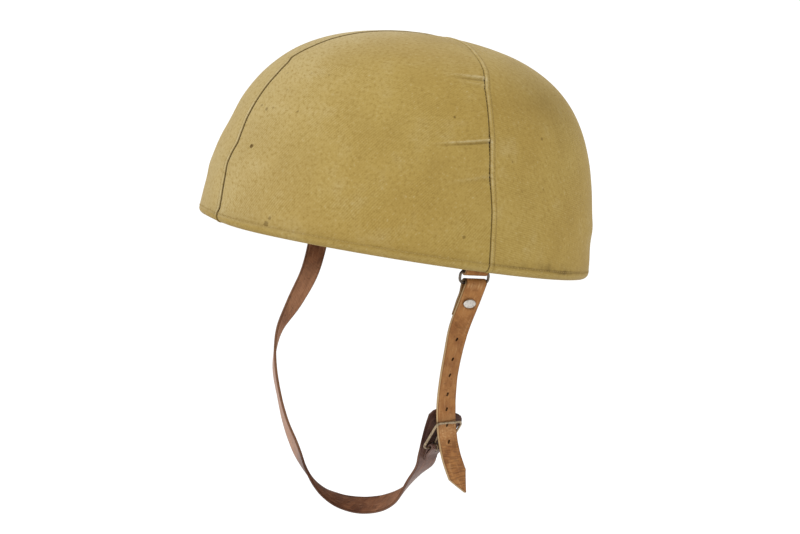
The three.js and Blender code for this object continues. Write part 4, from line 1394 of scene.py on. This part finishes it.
def make_metal(name, bright, dull, roughness, stain):
    material, tree, shader = start_material(name, roughness=roughness, metallic=1.0)
    place = object_place(tree)
    spots = speckle(tree, place, 1.6 * MM, detail=4, roughness=0.65)
    scratches = speckle(tree, stretched(tree, place, (1, 1, 0.1)), 0.35 * MM, detail=2)
    body = blend_colour(tree, times(tree, fade_between(tree, spots, 0.45, 0.7), stain), bright, dull)
    rough = ranged(tree, spots, roughness - 0.12, roughness + 0.2)
    height = plus(tree, spots, times(tree, scratches, 0.4))
    coat(tree, shader, body, raised(tree, height, 0.35, 0.06 * MM), Roughness=rough)
    return material


dark_steel = make_metal("dark_steel", colour(108, 98, 88), colour(58, 48, 42), 0.42, 0.9)
nickel = make_metal("worn_nickel", colour(198, 192, 184), colour(138, 130, 122), 0.4, 0.8)
champagne = make_metal("champagne_wire", colour(160, 142, 116), colour(84, 70, 54), 0.3, 0.9)

# %% Bent wire frames
WIRE_SEGMENTS = 32


def wire_frame(across, high, corner, wire):
    """A rounded rectangle of wire, across along Y and high along Z, from a torus moved apart."""
    frame_piece = start_with(
        bpy.ops.mesh.primitive_torus_add,
        major_radius=corner,
        minor_radius=wire / 2,
        major_segments=WIRE_SEGMENTS,
        minor_segments=16,
        rotation=(0, math.radians(90), 0),
    )
    half_segment = math.pi / WIRE_SEGMENTS
    bpy.ops.transform.rotate(value=half_segment, orient_axis="X", center_override=(0, 0, 0))
    bpy.ops.object.transform_apply(location=True, rotation=True, scale=True)
    for axis, size in ((1, across), (2, high)):
        for sign in (-1, 1):
            move = [0, 0, 0]
            move[axis] = sign * (size / 2 - corner)
            choose(frame_piece, lambda place: place[axis] * sign > 0)
            bpy.ops.transform.translate(value=move)
            leave()
    return frame_piece


def in_metres(size):
    """The across, high, corner and wire of a frame."""
    return [size[name] * MM for name in ("across", "high", "corner", "wire")]


def placed(piece, location, rotation):
    piece.matrix_world = Matrix.Translation(location) @ rotation.to_4x4()


def turn_about(axis, degrees):
    return Matrix.Rotation(math.radians(degrees), 3, axis)


ring = wire_frame(*in_metres({**RING, "high": RING["upper"] - RING["lower"]}))
ring_place = over_rim(RING["x"], RING["y"], (RING["upper"] + RING["lower"]) / 2)
placed(ring, ring_place, turn_about("X", RING_TILT))
hand_over(ring, "wire_ring", dark_steel, ["strap_ring"])

# %% Buckle frame: its middle and its sizes in millimetres, and how it is turned, in degrees
BUCKLE = {"x": 97.1, "y": -6.6, "z": -107.4, "across": 22.4, "high": 20.8, "wire": 1.5, "corner": 3}
BUCKLE_TURN = {"yaw": 10, "roll": 5, "lean": 29}
buckle_place = over_rim(BUCKLE["x"], BUCKLE["y"], BUCKLE["z"])
buckle_turn = turn_about("Z", BUCKLE_TURN["yaw"]) @ turn_about("X", BUCKLE_TURN["roll"])
buckle_turn = buckle_turn @ turn_about("Y", BUCKLE_TURN["lean"])
buckle = wire_frame(*in_metres(BUCKLE))
placed(buckle, buckle_place, buckle_turn)
hand_over(buckle, "wire_buckle", champagne, ["buckle_frame"])

# %% Buckle tongue: a hook spun round the lower bar, and a straight part drawn up from it
TONGUE = {"wire": 1.3, "length": 17.5, "lean": 20, "hook": 230}  # millimetres, then degrees
TONGUE_TIP = [(0.35, 0.8), (0.15, 0.45)]  # how much longer, in millimetres, and how much thinner each time
hook_radius = (BUCKLE["wire"] / 2 + TONGUE["wire"] / 2) * MM + GAP


def build_tongue():
    tongue = start_with(
        bpy.ops.mesh.primitive_circle_add,
        vertices=16,
        radius=TONGUE["wire"] * MM / 2,
        location=(-hook_radius, 0, 0),
    )
    bpy.ops.object.transform_apply(location=True)
    choose(tongue, lambda place: True)
    hook = math.radians(TONGUE["hook"])
    bpy.ops.mesh.spin(steps=20, angle=-hook, center=(0, 0, 0), axis=(0, 1, 0))
    leave()
    choose(tongue, lambda place: abs(place.z) < 1e-6 and place.x < 0)
    for lift, size in [(TONGUE["length"] - 0.5, 1.0)] + TONGUE_TIP:
        bpy.ops.mesh.extrude_region_move(TRANSFORM_OT_translate={"value": (0, 0, lift * MM)})
        bpy.ops.transform.resize(value=(size, size, 1))
    bpy.ops.mesh.select_all(action="SELECT")
    bpy.ops.mesh.fill_holes(sides=0)
    leave()
    return weld(tongue)


tongue = build_tongue()
print("tongue z", [round(f(v.co.z for v in tongue.data.vertices) / MM, 1) for f in (min, max)])
lower_bar = buckle_place + buckle_turn @ Vector((0, 0, -BUCKLE["high"] / 2 * MM))
placed(tongue, lower_bar, buckle_turn @ turn_about("Y", TONGUE["lean"] - BUCKLE_TURN["lean"]))
hand_over(tongue, "wire_tongue", champagne, ["buckle_prong"])

# %% Rivets: half a flattened ball on a shank
SINK = 0.1 * MM  # how far a shank reaches into its head
BURR = {"height": 0.8 * MM, "past_foot": 0.3 * MM}


def build_rivet(length, width, rise, shank, depth, burr=0.0):
    """A head that rises along Z from 0, over a shank that reaches down, with a burr at its foot."""
    head = start_with(bpy.ops.mesh.primitive_uv_sphere_add, segments=48, ring_count=24, radius=1)
    for vertex in head.data.vertices:
        x, y, z = vertex.co
        flat = math.copysign(min(abs(z), 0.9), z)
        vertex.co = Vector((x * length / 2, y * width / 2, flat * rise))
    choose(head, lambda place: True)
    bpy.ops.mesh.bisect(plane_co=(0, 0, 0), plane_no=(0, 0, -1), clear_outer=True, use_fill=True)
    leave()
    middle = (0, 0, SINK - depth / 2)
    bpy.ops.mesh.primitive_cylinder_add(vertices=24, radius=shank / 2, depth=depth, location=middle)
    pieces = [head, bpy.context.object]
    if burr:
        foot = (0, 0, SINK - depth - BURR["past_foot"])
        bpy.ops.mesh.primitive_cylinder_add(vertices=28, radius=burr, depth=BURR["height"], location=foot)
        pieces.append(bpy.context.object)
        modify(pieces[-1], "BEVEL", width=0.2 * MM, segments=2)
    return join(pieces)


rivet_section = section_at(short_run, ring_at + RIVET_AT)
seat = SHORT_THICKNESS / 2 + GAP
foot = 1.5 * SHORT_THICKNESS + 2 * GAP
RIVET_TURN = 16  # degrees that its long axis has turned from straight across the strap
oval = build_rivet(10 * MM, 5.7 * MM, 1.25 * MM, 2.6 * MM, seat + foot, burr=2.6 * MM)
across, face = rivet_section["across"], rivet_section["face"]
rotation = turn_about(face, RIVET_TURN) @ Matrix((across, face.cross(across), face)).transposed()
placed(oval, rivet_section["centre"] + face * seat, rotation)
hand_over(oval, "oval_rivet", nickel, ["strap_rivet"], math.radians(50))

# %% The two plain rivets inside the shell, in bores that are cut for them
IN_SHELL = 3 * MM  # how far a shank reaches into the shell's wall


def inside_x(height, y):
    angle = math.atan2(y / HALF_LENGTH, 1)
    return wall_point(angle, level_at_height(height), SHELL_INSIDE).x


def plain_rivet(name, node, side, y, height, head_at):
    """Makes the rivet and gives the cutter of its bore, from inside the leather to past the shank."""
    wall = inside_x(height, y)
    rivet = build_rivet(9 * MM, 9 * MM, 1.7 * MM, 3.2 * MM, wall + IN_SHELL - head_at)
    placed(rivet, Vector((side * head_at, y, RIM_Z + height)), turn_about("Y", -90 * side))
    hand_over(rivet, name, dark_steel, [node], math.radians(50))
    start, reach = wall - 4 * MM, wall + IN_SHELL + GAP
    middle = (side * (start + reach) / 2, y, RIM_Z + height)
    bpy.ops.mesh.primitive_cylinder_add(vertices=24, radius=1.9 * MM, depth=reach - start, location=middle)
    bpy.ops.transform.rotate(value=math.radians(90), orient_axis="Y", center_override=middle)
    return bpy.context.object


anchor = section_at(long_run, anchor_at)["centre"]
anchor_head = -anchor.x - LONG_THICKNESS / 2 - GAP
tab_head = (RING["x"] - RING["wire"]) * MM
tab_y = RING["y"] * MM
tab_cutter = plain_rivet("tab_rivet_head", "tab_rivet", 1, tab_y, ANCHOR_HEIGHT, tab_head)
anchor_cutter = plain_rivet("anchor_rivet_head", "anchor_rivet", -1, anchor.y, anchor.z - RIM_Z, anchor_head)
punch(shell, [tab_cutter, anchor_cutter])
hand_over(shell, "shell_wall", fibre, ["shell"], math.radians(60))

# %% [markdown]
# ## The tab and the buckle's loop
# Two short leather strips fold over wire. The tab holds the ring's upper bar and goes up inside the
# rim, where its rivet is. The loop holds the buckle's lower bar on the long strap, and has a slot in its
# fold for the tongue's hook.

# %% Ring tab
TAB_THICKNESS = 1.6 * MM
TAB_WIDTH = 17.5 * MM
TAB_TOP = 27 * MM
LAYER_STEPS = 12  # sections of one layer of a fold


def tab_sections():
    radius = RING["wire"] * MM / 2 + GAP + TAB_THICKNESS / 2
    bar = over_rim(RING["x"], RING["y"], RING["upper"])
    top = inside_x(TAB_TOP, tab_y) - 1 * MM - TAB_THICKNESS / 2

    def layer(side, top_x):
        sections = []
        for i in range(1, LAYER_STEPS + 1):
            share = i / LAYER_STEPS
            x = mix(bar.x + side * radius, top_x, step_up(share, 0, 1))
            centre = Vector((x, tab_y, mix(bar.z, RIM_Z + TAB_TOP, share)))
            sections.append(section(centre, Vector((0, -1, 0)), Vector((side, 0, 0)), TAB_WIDTH))
        return sections

    tilt = math.radians(RING_TILT)
    direction = -Vector((0, math.cos(tilt), math.sin(tilt)))
    fold = fold_over(bar, direction, Vector((1, 0, 0)), radius, TAB_WIDTH)
    return measured(layer(-1, top - TAB_THICKNESS - GAP)[::-1] + fold + layer(1, top))


def plain_wear(half, length):
    return lambda x, y: (1 - step_up(min(half - abs(x), y, length - y) / MM, 0.2, 0.7), 0.0, 0.2, 0.0)


def lengths_at(sections, height):
    """Lengths at which a strip comes past a height."""
    found = []
    for a, b in zip(sections, sections[1:]):
        if (a["centre"].z - height) * (b["centre"].z - height) <= 0:
            found.append((a["from"] + b["from"]) / 2)
    return found


TAB_TONES = {**TAN, "outer": colour(142, 92, 58), "outer_dark": colour(116, 70, 42)}
tab_leather = make_leather("tab_leather", TAB_TONES, 0.8 * MM, 0.5, (0.6, 0.15), (0.7, 0.12))
tab_run = tab_sections()
tab_length = tab_run[-1]["from"]
tab = cut_strap(tab_length, lambda y: TAB_WIDTH, 0.8 * MM)
thicken(tab, TAB_THICKNESS, 0.35 * MM)
punch(tab, [oval_cutter(0, at, 4.2 * MM, 4.2 * MM) for at in lengths_at(tab_run, RIM_Z + ANCHOR_HEIGHT)])
lay_strap(tab, tab_run, plain_wear(TAB_WIDTH / 2, tab_length))
hand_over(tab, "leather_tab", tab_leather, ["ring_tab"])

# %% Buckle loop
LOOP = {"width": 10 * MM, "thickness": 1.2 * MM, "leg": 9 * MM, "slot": 3 * MM, "seat_gap": 0.6 * MM}
LOOP_LAYER = LOOP["thickness"] + GAP


def loop_sections():
    """Sections of the loop, and how far from its end the fold's middle is."""
    bar_direction = buckle_turn @ Vector((0, 1, 0))
    at_bar = min(long_run, key=lambda place: (place["centre"] - lower_bar).length)["from"]
    under = section_at(long_run, at_bar)
    out = -under["face"]
    lift_at_bar = (lower_bar - under["centre"]).dot(out)
    shift = lower_bar - under["centre"] - out * lift_at_bar
    radius = BUCKLE["wire"] * MM / 2 + GAP + LOOP["thickness"] / 2
    seated = LONG_THICKNESS / 2 + LOOP["seat_gap"] + LOOP["thickness"] / 2

    def layer(lift, side):
        sections = []
        for i in range(1, LAYER_STEPS + 1):
            lower = i / LAYER_STEPS
            place = section_at(long_run, at_bar - lower * LOOP["leg"])
            out_here = -place["face"]
            height = mix(lift_at_bar + side * radius, lift, min(1.6 * lower, 1))
            centre = place["centre"] + out_here * height + shift * (1 - lower)
            across = bar_direction.lerp(place["across"], lower).normalized()
            sections.append(section(centre, across, out_here * side, LOOP["width"]))
        return sections

    fold = fold_over(lower_bar, bar_direction, out, radius, LOOP["width"])
    run = measured(layer(seated, -1)[::-1] + fold + layer(seated + LOOP_LAYER, 1))
    return run, (fold[0]["from"] + fold[-1]["from"]) / 2


LOOP_TONES = {
    **BROWN,
    "inner": BROWN["outer"],
    "inner_dark": BROWN["outer_dark"],
    "streak": colour(118, 92, 80),
    "raw": colour(88, 66, 56),
    "crack": colour(58, 40, 32),
}
loop_leather = make_leather("loop_leather", LOOP_TONES, 0.7 * MM, 0.4, (0.45, 0.4), (0.45, 0.4))
loop_run, fold_at = loop_sections()
loop_length = loop_run[-1]["from"]
loop = cut_strap(loop_length, lambda y: LOOP["width"], 0.6 * MM)
thicken(loop, LOOP["thickness"], 0.3 * MM)
punch(loop, [oval_cutter(0, fold_at, LOOP["slot"], 11 * MM)])
lay_strap(loop, loop_run, plain_wear(LOOP["width"] / 2, loop_length))
hand_over(loop, "leather_loop", loop_leather, ["buckle_chape"])

# %% [markdown]
# ## Stitches
# Cotton thread holds the hem and the welts down, and shows as small bars in the seams. One stitch is
# modelled, a rounded bar with few faces. It is copied to every place on the sewing line and all the
# copies are joined.

# %% Thread: the finish


def make_thread():
    material, tree, shader = start_material("cotton_thread", roughness=0.85, specular=0.2)
    plies = speckle(tree, object_place(tree), 0.5 * MM, detail=2)
    body = blend_colour(tree, fade_between(tree, plies, 0.3, 0.7), colour(164, 141, 86), colour(140, 116, 62))
    coat(tree, shader, body, raised(tree, plies, 0.5, 0.08 * MM))
    return material


thread = make_thread()

# %% Sew along places on the dome


def one_stitch(length, thick):
    """A bar along X with rounded ends, lying on Z = 0."""
    stitch = start_with(
        bpy.ops.mesh.primitive_uv_sphere_add,
        segments=8,
        ring_count=5,
        radius=thick / 2,
        rotation=(0, math.radians(90), 0),
    )
    bpy.ops.object.transform_apply(location=True, rotation=True, scale=True)
    for sign in (-1, 1):
        choose(stitch, lambda place: place.x * sign > 1e-6)
        bpy.ops.transform.translate(value=(sign * (length - thick) / 2, 0, 0))
        leave()
    return stitch


def sew(name, stitch, places):
    """places are matrices, one for each stitch."""
    copies = []
    for place in places:
        copy = stitch.copy()
        copy.data = stitch.data.copy()
        copy.matrix_world = place
        bpy.context.collection.objects.link(copy)
        copies.append(copy)
    bpy.data.objects.remove(stitch, do_unlink=True)
    print(f"{name}: {len(places)} stitches")
    hand_over(join(copies), name, thread)


def stitch_place(point, along, out):
    side = out.cross(along).normalized()
    return Matrix.Translation(point) @ Matrix((along, side, out)).transposed().to_4x4()


def surface_rise(angle, level):
    """How far the laid cloth stands off the plain dome at a place."""
    for panel in PANELS:
        start = seam_angle(panel["from"], level)
        end = seam_angle(panel["to"], level) + math.radians(panel["turn"])
        turned = angle + (math.tau if angle < start - 1e-6 and panel["turn"] else 0)
        if start <= turned <= end:
            radius = tangent_radius(turned, level)
            column = (turned, (turned - start) * radius, (end - turned) * radius, (end - start) * radius)
            point = lay_point(panel, ("wall", level), column, 0)[0]
            bare, _, out = dome_frame(turned, level)
            return (point - bare).dot(out)
    return 0.0


# %% Hem stitches
PITCH = 2.7 * MM


def hem_places():
    places = []
    angle = -math.pi / 2
    while angle < math.pi * 1.5:
        level = level_at_height(HEM_STITCH + 0.25 * MM * noise.noise(Vector((angle * 9, 0, 0))))
        point, up, out = dome_frame(angle, level)
        rise = surface_rise(angle if angle <= math.radians(181) else angle - math.tau, level)
        along = up.cross(out).normalized()
        places.append(stitch_place(point + out * (rise + 0.10 * MM), along, out))
        angle += PITCH / tangent_radius(angle, level)
    return places


sew("hem_stitches", one_stitch(2.0 * MM, 0.42 * MM), hem_places())

# %% Stitches along the welts, and thread in the seams
WELTED = [("left", 1), ("rear", 1), ("front", -1), ("right", -1)]  # seams, and the side of each welt
SEWN = {"from": 0.05, "to": 0.93}  # levels between which the stitches show


def seam_places(seam, welt_side, gap, lift, pitch, turned):
    """Places along a seam, at a distance to one side of it, from the hem up."""
    places = []
    level = SEWN["from"]
    small = 0.01
    while level < SEWN["to"]:
        angle = seam_angle(seam, level)
        angle += welt_side * gap / tangent_radius(angle, level)
        point, _, out = dome_frame(angle, level)
        ahead = seam_angle(seam, level + small)
        ahead += welt_side * gap / tangent_radius(angle, level + small)
        along = (dome_point(ahead, level + small) - point).normalized()
        out = (out - along * out.dot(along)).normalized()
        if turned:
            along = along.cross(out)
        places.append(stitch_place(point + out * lift(angle, level), along, out))
        level += small * pitch / (dome_point(angle, level + small) - dome_point(angle, level)).length
    return places


def welt_lift(angle, level):
    wrapped = angle - math.tau if angle > math.radians(185) else angle
    return surface_rise(wrapped, level) + 0.08 * MM


def in_seam(angle, level):
    return -0.55 * MM


topstitches, bars = [], []
for seam, side in WELTED:
    topstitches += seam_places(seam, side, TOPSTITCH, welt_lift, PITCH, False)
    bars += seam_places(seam, 1, 0, in_seam, 2.4 * MM, True)
sew("welt_stitches", one_stitch(1.9 * MM, 0.4 * MM), topstitches)
sew("seam_thread", one_stitch(1.0 * MM, 0.4 * MM), bars)

# %% [markdown]
# ## Floor, light and camera
# The helmet is shown over a white studio table: a pale floor a hand's breadth under the strap's lowest
# point, an even white surround, one soft key light from the left of the camera and a weak, wide one
# from beside the camera.

# %% Floor
floor = start_with(
    bpy.ops.mesh.primitive_circle_add,
    vertices=64,
    radius=6,
    fill_type="NGON",
    location=(0, 0, cad_low.z - 120 * MM),
)
floor.name = "studio_floor"
floor_material, _, floor_shader = start_material("pale_floor", roughness=0.9, specular=0.1)
floor_shader.inputs["Base Color"].default_value = (0.96, 0.96, 0.96, 1)
floor.data.materials.append(floor_material)

# %% Lights


def direction_of(azimuth, elevation):
    """Away from the helmet. Azimuth 0 is in front of the face, and 90 at the wearer's left."""
    turn, climb = math.radians(azimuth), math.radians(elevation)
    return Vector((math.cos(climb) * math.sin(turn), -math.cos(climb) * math.cos(turn), math.sin(climb)))


def add_area_light(name, azimuth, elevation, distance, size, watts):
    target = Vector((0, 0, -110 * MM))
    away = direction_of(azimuth, elevation)
    bpy.ops.object.light_add(type="AREA", location=target + away * distance)
    light = bpy.context.object
    light.name = name
    light.rotation_euler = away.to_track_quat("Z", "Y").to_euler()
    light.data.size = size
    light.data.energy = watts


add_area_light("key", azimuth=-12, elevation=36, distance=2.0, size=0.9, watts=11)
add_area_light("fill", azimuth=65, elevation=15, distance=2.4, size=1.4, watts=8)

surround = bpy.data.worlds.new("white_surround")
bpy.context.scene.world = surround
surround.use_nodes = True
background = surround.node_tree.nodes["Background"]
background.inputs["Color"].default_value = (1, 1, 1, 1)
background.inputs["Strength"].default_value = 1.12
bpy.context.scene.view_settings.view_transform = "Standard"

# %% Camera
AZIMUTH = 54.97  # degrees, as are the elevation and the roll
ELEVATION = 1.18
ROLL = math.radians(10.17)
DISTANCE = 1.6
LENS = 108.2  # millimetres, behind a frame 36 mm wide
TARGET = Vector((0, 0, RIM_Z + 70 * MM))
AIM_RIGHT = 0.0031653  # how far the camera looks past its target, for each metre ahead
AIM_DOWN = 0.0517701
turn = math.radians(AZIMUTH)
right = Vector((math.cos(turn), math.sin(turn), 0))
back = direction_of(AZIMUTH, ELEVATION)
up = back.cross(right)
camera_back = (back - right * AIM_RIGHT + up * AIM_DOWN).normalized()
camera_right = right * math.cos(ROLL) + up * math.sin(ROLL)
camera_right = (camera_right - camera_back * camera_right.dot(camera_back)).normalized()
camera_up = camera_back.cross(camera_right)
bpy.ops.object.camera_add(location=TARGET + back * DISTANCE)
camera = bpy.context.object
camera.name = "studio_camera"
camera.rotation_euler = Matrix((camera_right, camera_up, camera_back)).transposed().to_euler()
camera.data.sensor_width = 36
camera.data.lens = LENS
bpy.context.scene.camera = camera
print("camera at", [round(v, 3) for v in camera.location])
